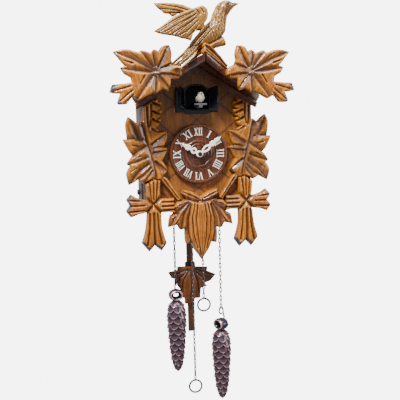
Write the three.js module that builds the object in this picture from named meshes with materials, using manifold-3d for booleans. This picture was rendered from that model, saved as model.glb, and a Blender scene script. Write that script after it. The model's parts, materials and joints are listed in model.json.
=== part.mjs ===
// Wall cuckoo clock: gabled case, carved leaves and birds, dial with hands, cuckoo stage,
// pendulum, two hanging chains with pinecone weights and pull rings. Millimetres, +Z up.
// The back rests on the wall plane y = 0 and the front faces -Y. z = 0 is WALL_POINT_Z above the dial.
import * as THREE from "three";
import { mergeVertices } from "three/addons/utils/BufferGeometryUtils.js";
import Module from "manifold-3d";

const wasm = await Module();
wasm.setup();

// ---- driving dimensions -------------------------------------------------------------------
const GAP = 0.3;
const WALL_POINT_Z = 46;
const CASE_DEPTH = 44;
const CASE_HALF_WIDTH = 49;
const CASE_BOTTOM_Z = -50.5;
const BOARD = 4;
const BACK_BOARD = 3;
const FRONT_Y = -CASE_DEPTH;
const ROOF_ANGLE = THREE.MathUtils.degToRad(30.5);
const ROOF_SLOPE = Math.tan(ROOF_ANGLE);
const ROOF_THICKNESS = 6;
const ROOF_APEX_Z = 84.2;
const ROOF_UNDER_Z = ROOF_APEX_Z - ROOF_THICKNESS / Math.cos(ROOF_ANGLE);
const RIDGE_DEPTH = 42;
const EAVE_X = 58;
const EAVE_DEPTH = 3;
const EAVE_BACK_X = 51.5;
const LEAF_SEAT_DEPTH = 29;
const LEAF_SEAT_START_X = 18;
const LEAF_SEAT_END_X = 44;
const RIDGE_OVERLAP = 5;
const DIAL_RADIUS = 26.6;
const OPENING_HALF_WIDTH = 18.9;
const OPENING_BOTTOM_Z = 37.1;
const OPENING_TOP_Z = 58.9;
const OPENING_ARCH_TOP_Z = 61.3;
const OPENING_ARCH_HALF_WIDTH = 11.3;
const OPENING_SHOULDER_DROP = 1.6;
const SHAFT_HOLE_RADIUS = 3;
const CHAIN_Y = -31;
const CHAIN_DIAMETER = 2.6;
const WEIGHT_STRAND_X = 21.4;
const RING_STRAND_X = 5;
const PENDULUM_X = -4.4;
const PENDULUM_Y = -16.2;
const PENDULUM_PIVOT_Z = -16;
const PENDULUM_BOTTOM_Z = -170;
const DOOR_OPEN_ANGLE = THREE.MathUtils.degToRad(120);
const BIRD_OUT_DEPTH = 16;

// ---- materials ----------------------------------------------------------------------------
const paint = (color, roughness, metalness) => new THREE.MeshStandardMaterial({ color, roughness, metalness });
const carvedWood = () => paint(0xb06a2c, 0.35, 0);
const boardWood = () => paint(0x8a4a20, 0.45, 0);
const roofWood = () => paint(0x6e3a1c, 0.4, 0);
const birdWood = () => paint(0xa8702f, 0.45, 0);
const dialWood = () => paint(0x5a2c1a, 0.35, 0);
const blackPlastic = () => paint(0x0c0f18, 0.3, 0);
const ivoryPlastic = () => paint(0xf4ecd8, 0.4, 0);
const steel = () => paint(0x9a9a9a, 0.35, 1);
const darkSteel = () => paint(0x2c2c30, 0.4, 1);
const coneFinish = () => paint(0x4a2a22, 0.3, 0);

// ---- geometry helpers ---------------------------------------------------------------------
function toSolid(geometry) {
  const bare = geometry.clone();
  bare.deleteAttribute("normal");
  bare.deleteAttribute("uv");
  const merged = mergeVertices(bare, 1e-4);
  const vertProperties = new Float32Array(merged.attributes.position.array);
  const triVerts = new Uint32Array(merged.index.array);
  return new wasm.Manifold(new wasm.Mesh({ numProp: 3, vertProperties, triVerts }));
}

function toGeometry(solid) {
  const mesh = solid.getMesh();
  const geometry = new THREE.BufferGeometry();
  const positions = new Float32Array(mesh.numVert * 3);
  for (let i = 0; i < mesh.numVert; i += 1) {
    positions[3 * i] = mesh.vertProperties[mesh.numProp * i];
    positions[3 * i + 1] = mesh.vertProperties[mesh.numProp * i + 1];
    positions[3 * i + 2] = mesh.vertProperties[mesh.numProp * i + 2];
  }
  geometry.setAttribute("position", new THREE.BufferAttribute(positions, 3));
  geometry.setIndex(Array.from(mesh.triVerts));
  geometry.computeVertexNormals();
  return geometry;
}

function combine(base, added, removed) {
  let solid = toSolid(base);
  for (const geometry of added) {
    solid = solid.add(toSolid(geometry));
  }
  for (const geometry of removed) {
    solid = solid.subtract(toSolid(geometry));
  }
  return toGeometry(solid);
}

function mirrorX(geometry) {
  const flipped = geometry.index ? geometry.clone() : mergeVertices(geometry.clone(), 1e-4);
  flipped.scale(-1, 1, 1);
  const index = flipped.index.array;
  for (let i = 0; i < index.length; i += 3) {
    const first = index[i];
    index[i] = index[i + 1];
    index[i + 1] = first;
  }
  return flipped;
}

function shapeOf(points) {
  return new THREE.Shape(points.map(([x, z]) => new THREE.Vector2(x, z)));
}

// A plate whose outline lies in the XZ plane, from frontDepth back by thickness (depth 0 = case front).
function plate(shape, frontDepth, thickness, curveSegments = 4) {
  const options = { depth: thickness, bevelEnabled: false, curveSegments };
  const geometry = new THREE.ExtrudeGeometry(shape, options);
  geometry.rotateX(Math.PI / 2);
  geometry.translate(0, FRONT_Y - frontDepth + thickness, 0);
  return geometry;
}

function box(x0, x1, y0, y1, z0, z1) {
  const geometry = new THREE.BoxGeometry(x1 - x0, y1 - y0, z1 - z0);
  geometry.translate((x0 + x1) / 2, (y0 + y1) / 2, (z0 + z1) / 2);
  return geometry;
}

// A rod along Y between two y values, centred on x, z.
function rodY(x, z, radius, y0, y1, sides = 24) {
  const geometry = new THREE.CylinderGeometry(radius, radius, y1 - y0, sides);
  geometry.translate(x, (y0 + y1) / 2, z);
  return geometry;
}

function rodX(y, z, radius, x0, x1, sides = 24) {
  const geometry = new THREE.CylinderGeometry(radius, radius, x1 - x0, sides);
  geometry.rotateZ(Math.PI / 2);
  geometry.translate((x0 + x1) / 2, y, z);
  return geometry;
}

function rodZ(x, y, radius, z0, z1, sides = 24) {
  const geometry = new THREE.CylinderGeometry(radius, radius, z1 - z0, sides);
  geometry.rotateX(Math.PI / 2);
  geometry.translate(x, y, (z0 + z1) / 2);
  return geometry;
}

function tube(points, radius, steps, sides) {
  const path = new THREE.CatmullRomCurve3(points.map((p) => new THREE.Vector3(...p)), false, "centripetal");
  const circle = new THREE.Shape();
  circle.absarc(0, 0, radius, 0, Math.PI * 2, false);
  const options = { steps, extrudePath: path, curveSegments: sides / 2 };
  return new THREE.ExtrudeGeometry(circle, options);
}

// Outline of a carved leaf: each lobe is [tip x, tip z, notch x, notch z, outward bulge before, after].
function leafShape(start, lobes, side) {
  const shape = new THREE.Shape();
  shape.moveTo(start[0] * side, start[1]);
  let from = start;
  const curveTo = (to, bulge) => {
    const dx = to[0] - from[0];
    const dz = to[1] - from[1];
    const length = Math.hypot(dx, dz);
    const cx = (from[0] + to[0]) / 2 - (dz / length) * bulge;
    const cz = (from[1] + to[1]) / 2 + (dx / length) * bulge;
    shape.quadraticCurveTo(cx * side, cz, to[0] * side, to[1]);
    from = to;
  };
  for (const [tipX, tipZ, notchX, notchZ, before, after] of lobes) {
    curveTo([tipX, tipZ], before);
    curveTo([notchX, notchZ], after);
  }
  return shape;
}

const clock = new THREE.Group();
clock.name = "cuckoo_clock";
const dialFrame = new THREE.Group();
dialFrame.position.set(0, 0, -WALL_POINT_Z);
clock.add(dialFrame);

function addNode(name, geometry, material, parent = dialFrame) {
  const mesh = new THREE.Mesh(geometry, material);
  mesh.name = name;
  parent.add(mesh);
  return mesh;
}

const roofUnderAt = (x) => ROOF_UNDER_Z - ROOF_SLOPE * Math.abs(x);
const SIDES = [["left", -1], ["right", 1]];

// ---- case ---------------------------------------------------------------------------------
function gableOutline(halfWidth, bottom, clearance) {
  const shoulder = roofUnderAt(halfWidth) - clearance;
  return [
    [-halfWidth, bottom],
    [halfWidth, bottom],
    [halfWidth, shoulder],
    [0, ROOF_UNDER_Z - clearance],
    [-halfWidth, shoulder],
  ];
}

function openingShape(halfWidth, bottom, top, archTop) {
  const archHalf = OPENING_ARCH_HALF_WIDTH;
  const shoulderZ = top - OPENING_SHOULDER_DROP;
  const shape = new THREE.Shape();
  shape.moveTo(-halfWidth, bottom);
  shape.lineTo(halfWidth, bottom);
  shape.lineTo(halfWidth, top);
  shape.lineTo(archHalf, shoulderZ);
  shape.quadraticCurveTo(archHalf * 0.55, archTop, 0, archTop);
  shape.quadraticCurveTo(-archHalf * 0.55, archTop, -archHalf, shoulderZ);
  shape.lineTo(-halfWidth, top);
  return shape;
}

const ROOF_GAP = 0.4;
const frontShape = shapeOf(gableOutline(CASE_HALF_WIDTH, CASE_BOTTOM_Z, ROOF_GAP));
const openingHole = openingShape(OPENING_HALF_WIDTH, OPENING_BOTTOM_Z, OPENING_TOP_Z, OPENING_ARCH_TOP_Z);
frontShape.holes.push(new THREE.Path(openingHole.getPoints(5)));
const shaftHole = new THREE.Path();
shaftHole.absarc(0, 0, SHAFT_HOLE_RADIUS, 0, Math.PI * 2, true);
frontShape.holes.push(shaftHole);
addNode("front_panel", plate(frontShape, 0, BOARD, 10), boardWood());

const WALL_INNER_X = CASE_HALF_WIDTH - BOARD;
const WALL_FRONT_Y = FRONT_Y + BOARD + GAP;
const WALL_BACK_Y = -BACK_BOARD - GAP;
const SOUND_SLOT = { front: -35, back: -24, bottom: -42, top: -26 };
const KNOB_Y = -11;
const KNOB_Z = -35;

function sideWall(side, extraCuts) {
  const outline = shapeOf([
    [WALL_INNER_X, CASE_BOTTOM_Z],
    [CASE_HALF_WIDTH, CASE_BOTTOM_Z],
    [CASE_HALF_WIDTH, roofUnderAt(CASE_HALF_WIDTH) - ROOF_GAP],
    [WALL_INNER_X, roofUnderAt(WALL_INNER_X) - ROOF_GAP],
  ]);
  const depth = WALL_BACK_Y - WALL_FRONT_Y;
  const blank = plate(outline, FRONT_Y - WALL_FRONT_Y, depth);
  const slot = box(40, 60, SOUND_SLOT.front, SOUND_SLOT.back, SOUND_SLOT.bottom, SOUND_SLOT.top);
  const wall = combine(blank, [], [slot, ...extraCuts]);
  return side < 0 ? mirrorX(wall) : wall;
}
const KNOB_HOLE_RADIUS = 1.6;
const knobHole = rodX(KNOB_Y, KNOB_Z, KNOB_HOLE_RADIUS, 40, 60, 16);
addNode("side_panel_left", sideWall(-1, [knobHole]), boardWood());
addNode("side_panel_right", sideWall(1, []), boardWood());

const FLOOR_TOP_Z = CASE_BOTTOM_Z + BOARD;
const CHAIN_HOLE_RADIUS = 2.8;
const floorHalf = WALL_INNER_X - GAP;
const floorBlank = box(-floorHalf, floorHalf, WALL_FRONT_Y, WALL_BACK_Y, CASE_BOTTOM_Z, FLOOR_TOP_Z);
const floorCuts = [box(PENDULUM_X - 8, PENDULUM_X + 8, PENDULUM_Y - 2.6, PENDULUM_Y + 2.6, -60, -40)];
for (const x of [-WEIGHT_STRAND_X, -RING_STRAND_X, RING_STRAND_X, WEIGHT_STRAND_X]) {
  floorCuts.push(rodZ(x, CHAIN_Y, CHAIN_HOLE_RADIUS, -60, -40, 20));
}
addNode("floor_panel", combine(floorBlank, [], floorCuts), boardWood());

const WINDOW_HALF_WIDTH = 31;
const WINDOW_BOTTOM_Z = -44;
const WINDOW_TOP_Z = 30;
const KEYHOLE_Z = 60;
const backShape = shapeOf(gableOutline(CASE_HALF_WIDTH, CASE_BOTTOM_Z, ROOF_GAP));
const windowHole = new THREE.Path([
  new THREE.Vector2(-WINDOW_HALF_WIDTH, WINDOW_BOTTOM_Z),
  new THREE.Vector2(-WINDOW_HALF_WIDTH, WINDOW_TOP_Z),
  new THREE.Vector2(WINDOW_HALF_WIDTH, WINDOW_TOP_Z),
  new THREE.Vector2(WINDOW_HALF_WIDTH, WINDOW_BOTTOM_Z),
]);
backShape.holes.push(windowHole);
const hangerRelief = new THREE.Path();
hangerRelief.absarc(0, KEYHOLE_Z, 5.5, 0, Math.PI * 2, true);
backShape.holes.push(hangerRelief);
addNode("back_panel", plate(backShape, -CASE_DEPTH + BACK_BOARD, BACK_BOARD, 10), boardWood());

// Steel keyhole plate behind the back board, hung on the wall hook.
const HANGER_PLATE_HALF = 11;
const HANGER_PLATE_BOTTOM_Z = KEYHOLE_Z - 7.5;
const HANGER_PLATE_TOP_Z = KEYHOLE_Z + 6;
const hangerShape = shapeOf([
  [-HANGER_PLATE_HALF, HANGER_PLATE_BOTTOM_Z],
  [HANGER_PLATE_HALF, HANGER_PLATE_BOTTOM_Z],
  [HANGER_PLATE_HALF, HANGER_PLATE_TOP_Z],
  [-HANGER_PLATE_HALF, HANGER_PLATE_TOP_Z],
]);
const keyhole = new THREE.Path();
keyhole.moveTo(-1.6, KEYHOLE_Z + 3.4);
keyhole.lineTo(-1.6, KEYHOLE_Z);
keyhole.absarc(0, KEYHOLE_Z - 1.8, 3.4, Math.PI * 0.68, Math.PI * 2.32, false);
keyhole.lineTo(1.6, KEYHOLE_Z + 3.4);
hangerShape.holes.push(keyhole);
const HANGER_THICKNESS = 1;
const hangerY = -BACK_BOARD - GAP - HANGER_THICKNESS;
addNode("hanger_plate", plate(hangerShape, FRONT_Y - hangerY, HANGER_THICKNESS, 8), steel());

// ---- roof ---------------------------------------------------------------------------------
function roofBoard() {
  const cos = Math.cos(ROOF_ANGLE);
  const seatY = FRONT_Y - LEAF_SEAT_DEPTH;
  const ridgeY = FRONT_Y - RIDGE_DEPTH;
  const slopeLead = (RIDGE_DEPTH - LEAF_SEAT_DEPTH) / LEAF_SEAT_START_X;
  const outline = new THREE.Shape([
    new THREE.Vector2(-RIDGE_OVERLAP, 0),
    new THREE.Vector2(-RIDGE_OVERLAP, ridgeY - RIDGE_OVERLAP * slopeLead),
    new THREE.Vector2(LEAF_SEAT_START_X / cos, seatY),
    new THREE.Vector2(LEAF_SEAT_END_X / cos, seatY),
    new THREE.Vector2(EAVE_X / cos, FRONT_Y - EAVE_DEPTH),
    new THREE.Vector2(EAVE_BACK_X / cos, 0),
  ]);
  const geometry = new THREE.ExtrudeGeometry(outline, { depth: ROOF_THICKNESS, bevelEnabled: false });
  geometry.translate(0, 0, -ROOF_THICKNESS);
  geometry.rotateY(ROOF_ANGLE);
  geometry.translate(0, 0, ROOF_APEX_Z);
  const otherSide = box(-40, GAP / 2, -120, 20, 40, 120);
  return combine(geometry, [], [otherSide]);
}
const roofRight = roofBoard();
addNode("roof_board_left", mirrorX(roofRight), roofWood());
addNode("roof_board_right", roofRight, roofWood());

// Stepped moulding under the roof on the front board, with a small drop boss at its peak.
const MOULDING_FRONT = 5;
const MOULDING_HALF_WIDTH = 55;
const MOULDING_END_SLANT = 0.3;
function chevron(topDrop, bottomDrop) {
  const slopeAt = (x, drop) => roofUnderAt(x) - drop / Math.cos(ROOF_ANGLE);
  const topX = MOULDING_HALF_WIDTH;
  const bottomX = MOULDING_HALF_WIDTH - bottomDrop * MOULDING_END_SLANT;
  return shapeOf([
    [0, slopeAt(0, topDrop)],
    [-topX, slopeAt(topX, topDrop)],
    [-bottomX, slopeAt(bottomX, bottomDrop)],
    [0, slopeAt(0, bottomDrop)],
    [bottomX, slopeAt(bottomX, bottomDrop)],
    [topX, slopeAt(topX, topDrop)],
  ]);
}
const MIDDLE_STEP_FRONT = MOULDING_FRONT - 1.4;
const LOWER_STEP_FRONT = MOULDING_FRONT - 2.8;
const UPPER_STEP_THICKNESS = 3;
const mouldingSteps = [
  plate(chevron(ROOF_GAP, 3.4), MIDDLE_STEP_FRONT, MIDDLE_STEP_FRONT - GAP),
  plate(chevron(ROOF_GAP, 2), MOULDING_FRONT, UPPER_STEP_THICKNESS),
  plate(chevron(3, 4.8), LOWER_STEP_FRONT, LOWER_STEP_FRONT - GAP),
];
const BOSS_HALF_WIDTH = 2.2;
const BOSS_THICKNESS = 4;
const bossShape = shapeOf([
  [-BOSS_HALF_WIDTH, 75],
  [-BOSS_HALF_WIDTH, 71],
  [0, 69.4],
  [BOSS_HALF_WIDTH, 71],
  [BOSS_HALF_WIDTH, 75],
]);
const boss = plate(bossShape, MOULDING_FRONT, BOSS_THICKNESS);
addNode("gable_moulding", combine(mouldingSteps[0], [mouldingSteps[1], mouldingSteps[2], boss], []), roofWood());

// ---- carvings -----------------------------------------------------------------------------
const ROOF_LEAF_FRONT = 36.5;
const roofLeafStart = [27, 76];
const roofLeafLobes = [
  [29.2, 91.4, 38, 85.8, 1.4, 1.8],
  [41.8, 87.8, 44.9, 84.6, 0.5, 0.4],
  [52.4, 87.2, 54.4, 85, 0.5, 0.2],
  [75.3, 85.9, 66, 74.2, 3.4, 0.6],
  [69.9, 72.8, 61.6, 64.8, 0.2, -0.8],
  [66.4, 60.5, 68, 60.1, 0.3, 0],
  [76.8, 59.6, 78.2, 52.6, 0.2, 0],
  [70.2, 52.2, 73.4, 44.2, 0, 0],
  [65.4, 43.4, 61.2, 48.9, 0, 0],
  [55.2, 46.4, 44.2, 52.3, 0.6, 1],
  [41.7, 51.4, 36, 55.1, 0.2, 0.2],
  [31, 53.6, 28.4, 63.4, 0.6, 0.6],
  [20, 64.2, 18.8, 67.4, 0.8, 0.4],
];
for (const [label, side] of SIDES) {
  const blank = plate(leafShape(roofLeafStart, roofLeafLobes, side), ROOF_LEAF_FRONT, 7.2, 3);
  addNode(`roof_leaf_${label}`, blank, carvedWood());
}

// Side leaf with its fluted stem and the branch running down to the bottom leaf.
const VINE_FRONT = 8.5;
const stemTop = roofUnderAt(48.6) - 6.2;
const vineStart = [35.2, stemTop + 7.4];
const vineLobes = [
  [48.6, stemTop, 48.6, 30.2, 0, 0],
  [49.2, 30.4, 53.6, 27.4, 0, 0.3],
  [61.8, 34.1, 62.4, 16.6, 1, 2.2],
  [66.9, 14.7, 58.9, 0.2, -0.3, 1.6],
  [64.6, -7.3, 62.4, -9.2, 0.6, 0],
  [63, -25.2, 54.8, -20.6, 2.6, 0.5],
  [51.2, -22.2, 49.3, -21.8, 0.2, 0],
  [49.2, -24.8, 41.6, -20.2, 0, -0.6],
  [36.2, -20.6, 34.8, -21.4, 0, 0],
  [20.4, -41, 17.4, -38.9, -1.2, 0],
  [22.9, -31, 29.6, -20.4, 1, 0.4],
  [33.4, -18.4, 28, -14.8, 0, 0],
  [32.9, -5.2, 27.6, 4.5, 0.6, -0.6],
  [32.6, 6.9, 27, 19.8, 0.3, 0.6],
  [35.8, 21.6, 40.4, 24.4, 0.8, 0],
  [34, 30.4, 38.6, 31.6, 0.5, 0],
  [32.6, 37.2, 37.2, 38.4, 0.5, 0],
  [32.4, 43.6, 35.2, 44.8, 0.5, 0],
];
for (const [label, side] of SIDES) {
  const blank = plate(leafShape(vineStart, vineLobes, side), VINE_FRONT, VINE_FRONT - GAP, 3);
  addNode(`side_vine_${label}`, blank, carvedWood());
}

const CROSS_FRONT = 9;
const crossOutline = [
  [48.8, -25.4],
  [47.7, -38.6],
  [57, -36.7],
  [61.6, -33.6],
  [66, -38.3],
  [63, -43.6],
  [66.4, -48.4],
  [62.4, -53.7],
  [48, -50.1],
  [49.7, -65.5],
  [53.4, -77.4],
  [46.9, -85.4],
  [41.9, -79.8],
  [35.9, -85.3],
  [30.9, -78.3],
  [35, -64],
  [35.3, -50.4],
  [23.2, -51.5],
  [24, -38.2],
  [35.6, -37.9],
  [35.4, -22.1],
  [41.4, -20.9],
];
for (const [label, side] of SIDES) {
  const outline = shapeOf(crossOutline.map(([x, z]) => [x * side, z]));
  addNode(`foot_cross_${label}`, plate(outline, CROSS_FRONT, CROSS_FRONT - GAP), carvedWood());
}

const LEAF_FRONT = 10;
const bottomLeafHalf = [
  [15.6, -31, 15.9, -36, 1.2, 0.6],
  [16.4, -41.2, 20.8, -42, 0.4, 0],
  [23.2, -43.4, 22.6, -51.8, 0, 0],
  [29.3, -64, 21.4, -61.9, 2.6, 0.4],
  [18.8, -66.9, 14.3, -65.8, 0.4, 0.4],
  [13.6, -80, 9.3, -79.2, 1.2, 0.2],
];
function bottomLeafShape() {
  const dip = [0, -38];
  const half = leafShape(dip, bottomLeafHalf, 1).getPoints(3);
  const tip = new THREE.Vector2(0, -94.8);
  const shoulder = new THREE.Vector2(5.8, -86.4);
  const right = [...half, shoulder];
  const left = right.slice(1).reverse().map((p) => new THREE.Vector2(-p.x, p.y));
  return new THREE.Shape([...right, tip, ...left]);
}
addNode("bottom_leaf", plate(bottomLeafShape(), LEAF_FRONT, LEAF_FRONT - GAP), carvedWood());

// Carved bird on the ridge: body with tail, two wings and the cut twig it stands on.
const BIRD_FRONT = 40;
const birdOutline = [
  [31, 124.9],
  [25.4, 125.9],
  [21.3, 127.6],
  [16.9, 127.2],
  [11.6, 123],
  [8.4, 116.8],
  [6.7, 111.4],
  [2.5, 108.1],
  [-4.7, 100.2],
  [-10.4, 93.6],
  [-18.9, 83.6],
  [-26, 77.2],
  [-18.4, 74.6],
  [-8, 81.8],
  [-4.4, 87.4],
  [-3.6, 91.3],
  [4.2, 91.5],
  [11, 94.6],
  [14.8, 97.2],
  [18.9, 102.8],
  [19.6, 108.6],
  [20.7, 114.4],
  [23.4, 118.6],
  [26.4, 122],
];
addNode("roof_bird_body", plate(shapeOf(birdOutline), BIRD_FRONT, 12), birdWood());
const nearWing = [
  [-42.8, 100.6],
  [-36.3, 104.9],
  [-26.1, 112.6],
  [-17.5, 116.7],
  [-5.6, 120.8],
  [-2.2, 121.8],
  [1.6, 119.4],
  [2.5, 115.5],
  [1.8, 111.4],
  [-1.6, 105.4],
  [-6.8, 99],
  [-12.3, 93.4],
  [-19.9, 95.4],
  [-27.4, 97.8],
  [-37.4, 98.9],
];
addNode("roof_bird_wing_near", plate(shapeOf(nearWing), BIRD_FRONT + GAP + 4, 4), birdWood());
const farWing = [
  [-39.7, 126],
  [-30.8, 126.5],
  [-22.2, 126.2],
  [-15.3, 125.2],
  [-4, 120.6],
  [3.6, 112],
  [4, 104],
  [-4, 104],
  [-13, 114.6],
  [-19, 117.4],
  [-24.7, 115],
  [-31.1, 117.6],
  [-36.1, 121.8],
];
addNode("roof_bird_wing_far", plate(shapeOf(farWing), BIRD_FRONT - 12 - GAP, 4), birdWood());
const twig = new THREE.CylinderGeometry(2.9, 3.1, 17, 12);
twig.rotateZ(-Math.PI / 2);
twig.rotateY(-0.38);
twig.translate(10.6, FRONT_Y - 34, 90.6);
const saddle = shapeOf([[-3.2, 82.8], [0, 84.7], [4.4, 82.1], [4.4, 91], [-3.2, 91]]);
const perchBlock = plate(saddle, 38.5, 9);
const clearBody = plate(shapeOf([[2.6, 90.6], [4.4, 91.1], [11, 94.1], [19, 99.5], [3, 104]]), BIRD_FRONT + 1, 14);
addNode("roof_bird_perch", combine(perchBlock, [twig], [clearBody]), birdWood());

// ---- dial and hands -----------------------------------------------------------------------
const dialProfile = [
  [2.9, 0],
  [DIAL_RADIUS, 0],
  [DIAL_RADIUS, 2.4],
  [DIAL_RADIUS - 0.9, 4.6],
  [DIAL_RADIUS - 2.2, 4.7],
  [DIAL_RADIUS - 3.4, 3.6],
  [12.6, 3.2],
  [11.8, 3.9],
  [10.4, 3.9],
  [9.8, 3.3],
  [2.9, 3.3],
  [2.9, 0],
];
const dial = new THREE.LatheGeometry(dialProfile.map(([r, h]) => new THREE.Vector2(r, h)), 48);
dial.rotateX(Math.PI);
dial.translate(0, FRONT_Y - GAP, 0);
addNode("dial", dial, dialWood());

// Serrated hand outline along +Z from its hub: half outlines, mirrored.
const HAND_HUB = [[0, -2.9], [1.9, -2.2], [2.9, 0], [2.2, 2.2]];
const HOUR_HALF = [[2.4, 4.4], [2.7, 7.4], [1.4, 8.6], [1.2, 9.8], [2.8, 11], [2.3, 13.6], [1, 14.4]];
const MINUTE_HALF = [
  [2.3, 4.6],
  [2.6, 9.4],
  [1.9, 12.6],
  [2.7, 13.8],
  [2.5, 17],
  [1.5, 18],
  [2.2, 19.4],
  [1.7, 21.8],
  [0.6, 22.6],
];
function handShape(half, length) {
  const right = [...HAND_HUB, ...half];
  const left = right.slice(1).map(([x, z]) => [-x, z]).reverse();
  const shape = shapeOf([...right, [0, length], ...left]);
  const hub = new THREE.Path();
  hub.absarc(0, 0, 1.5, 0, Math.PI * 2, true);
  shape.holes.push(hub);
  return shape;
}
const HOUR_ANGLE = THREE.MathUtils.degToRad(-59);
const MINUTE_ANGLE = THREE.MathUtils.degToRad(52.5);
const HOUR_HAND_LENGTH = 16;
const MINUTE_HAND_LENGTH = 24.6;
const HAND_THICKNESS = 0.8;
const hourHand = plate(handShape(HOUR_HALF, HOUR_HAND_LENGTH), 7, HAND_THICKNESS, 6);
hourHand.rotateY(HOUR_ANGLE);
addNode("hour_hand", hourHand, ivoryPlastic());
const minuteHand = plate(handShape(MINUTE_HALF, MINUTE_HAND_LENGTH), 9, HAND_THICKNESS, 6);
minuteHand.rotateY(MINUTE_ANGLE);
addNode("minute_hand", minuteHand, ivoryPlastic());
addNode("hand_nut", rodY(0, 0, 2, FRONT_Y - 10.8, FRONT_Y - 9.3, 6), steel());

// ---- works --------------------------------------------------------------------------------
const MOVEMENT_HALF = 28;
const MOVEMENT_FRONT_Y = -38;
const MOVEMENT_BACK_Y = -20;
const movementSize = [-MOVEMENT_HALF, MOVEMENT_HALF];
const movementBlank = box(...movementSize, MOVEMENT_FRONT_Y, MOVEMENT_BACK_Y, ...movementSize);
const HOUR_TUBE_RADIUS = 2.4;
const HOUR_TUBE_BORE = 1.5;
const HOUR_TUBE_FRONT = 5.9;
const HOUR_TUBE_LENGTH = 17.5;
const ARBOR_RADIUS = 1.1;
const ARBOR_FRONT = 7.9;
const ARBOR_BACK_Y = -18.9;
const RUNNING_CLEARANCE = 0.4;
const ARBOR_CLEARANCE = 0.5;
const CELL_X = 18.55;
const CELL_Y = -28.6;
const CELL_RADIUS = 7.1;
const CELL_BOTTOM_Z = -24.4;
const CELL_TOP_Z = 23.6;
const BAY = { left: 10.5, right: 26.6, front: -36.6, halfHeight: 26.2 };
const tubeBoreRadius = HOUR_TUBE_RADIUS + RUNNING_CLEARANCE;
const tubeBore = rodY(0, 0, tubeBoreRadius, MOVEMENT_FRONT_Y - 1, MOVEMENT_FRONT_Y + 6);
const arborBoreRadius = ARBOR_RADIUS + ARBOR_CLEARANCE;
const arborBore = rodY(0, 0, arborBoreRadius, MOVEMENT_FRONT_Y, MOVEMENT_BACK_Y + 1, 16);
const batteryBay = box(BAY.left, BAY.right, BAY.front, MOVEMENT_BACK_Y + 1, -BAY.halfHeight, BAY.halfHeight);
addNode("movement_case", combine(movementBlank, [], [tubeBore, arborBore, batteryBay]), blackPlastic());
const tubeRing = new THREE.Shape();
tubeRing.absarc(0, 0, HOUR_TUBE_RADIUS, 0, Math.PI * 2, false);
const tubeBoreInner = new THREE.Path();
tubeBoreInner.absarc(0, 0, HOUR_TUBE_BORE, 0, Math.PI * 2, true);
tubeRing.holes.push(tubeBoreInner);
addNode("hour_tube", plate(tubeRing, HOUR_TUBE_FRONT, HOUR_TUBE_LENGTH, 10), steel());
const arbor = rodY(0, 0, ARBOR_RADIUS, FRONT_Y - ARBOR_FRONT, ARBOR_BACK_Y, 16);
addNode("minute_arbor", arbor, steel());
const SET_KNOB_RADIUS = 6;
const SET_KNOB_THICKNESS = 3.2;
const setKnobY = ARBOR_BACK_Y + GAP;
const setKnob = rodY(0, 0, SET_KNOB_RADIUS, setKnobY, setKnobY + SET_KNOB_THICKNESS, 20);
addNode("set_knob", setKnob, blackPlastic());
const cell = rodZ(CELL_X, CELL_Y, CELL_RADIUS, CELL_BOTTOM_Z, CELL_TOP_Z, 24);
const CELL_NUB_RADIUS = 2.7;
const CELL_NUB_TOP_Z = 25.4;
const cellNub = rodZ(CELL_X, CELL_Y, CELL_NUB_RADIUS, CELL_TOP_Z - 0.6, CELL_NUB_TOP_Z, 16);
addNode("battery", combine(cell, [cellNub], []), paint(0x30343a, 0.35, 0.4));
const COVER = { left: 9.8, right: 27.4, halfHeight: 27, thickness: 1.6 };
const coverFrontY = MOVEMENT_BACK_Y + GAP;
const coverBackY = MOVEMENT_BACK_Y + COVER.thickness;
const cover = box(COVER.left, COVER.right, coverFrontY, coverBackY, -COVER.halfHeight, COVER.halfHeight);
addNode("battery_cover", cover, blackPlastic());
const SPEAKER_Y = -26;
const SPEAKER_Z = -34.5;
const SPEAKER_RADIUS = 9.2;
const speaker = rodX(SPEAKER_Y, SPEAKER_Z, SPEAKER_RADIUS, -44.6, -38.6, 24);
addNode("speaker", speaker, blackPlastic());
const control = box(-44.6, -37, -15.8, -6.4, -40, -30);
addNode("volume_control", control, blackPlastic());
const KNOB_CAP_RADIUS = 2.5;
const KNOB_STEM_RADIUS = 1.2;
const knobCap = rodX(KNOB_Y, KNOB_Z, KNOB_CAP_RADIUS, -51.4, -49.3, 16);
const knobStem = rodX(KNOB_Y, KNOB_Z, KNOB_STEM_RADIUS, -49.5, -44.9, 12);
addNode("volume_knob", combine(knobCap, [knobStem], []), blackPlastic());
const BRACKET_HALF_WIDTH = 27;
const bracketTopZ = -MOVEMENT_HALF - GAP;
const bracketBar = box(-BRACKET_HALF_WIDTH, BRACKET_HALF_WIDTH, -27.9, -26.1, -40, bracketTopZ);
const ROLLER_RADIUS = 6.4;
const ROLLER_Z = -38.5;
const ROLLER_X = (WEIGHT_STRAND_X + RING_STRAND_X) / 2;
const rollers = [ROLLER_X, -ROLLER_X].map((x) => rodY(x, ROLLER_Z, ROLLER_RADIUS, -32.9, -27.5, 20));
addNode("chain_bracket", combine(bracketBar, rollers, []), blackPlastic());

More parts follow.
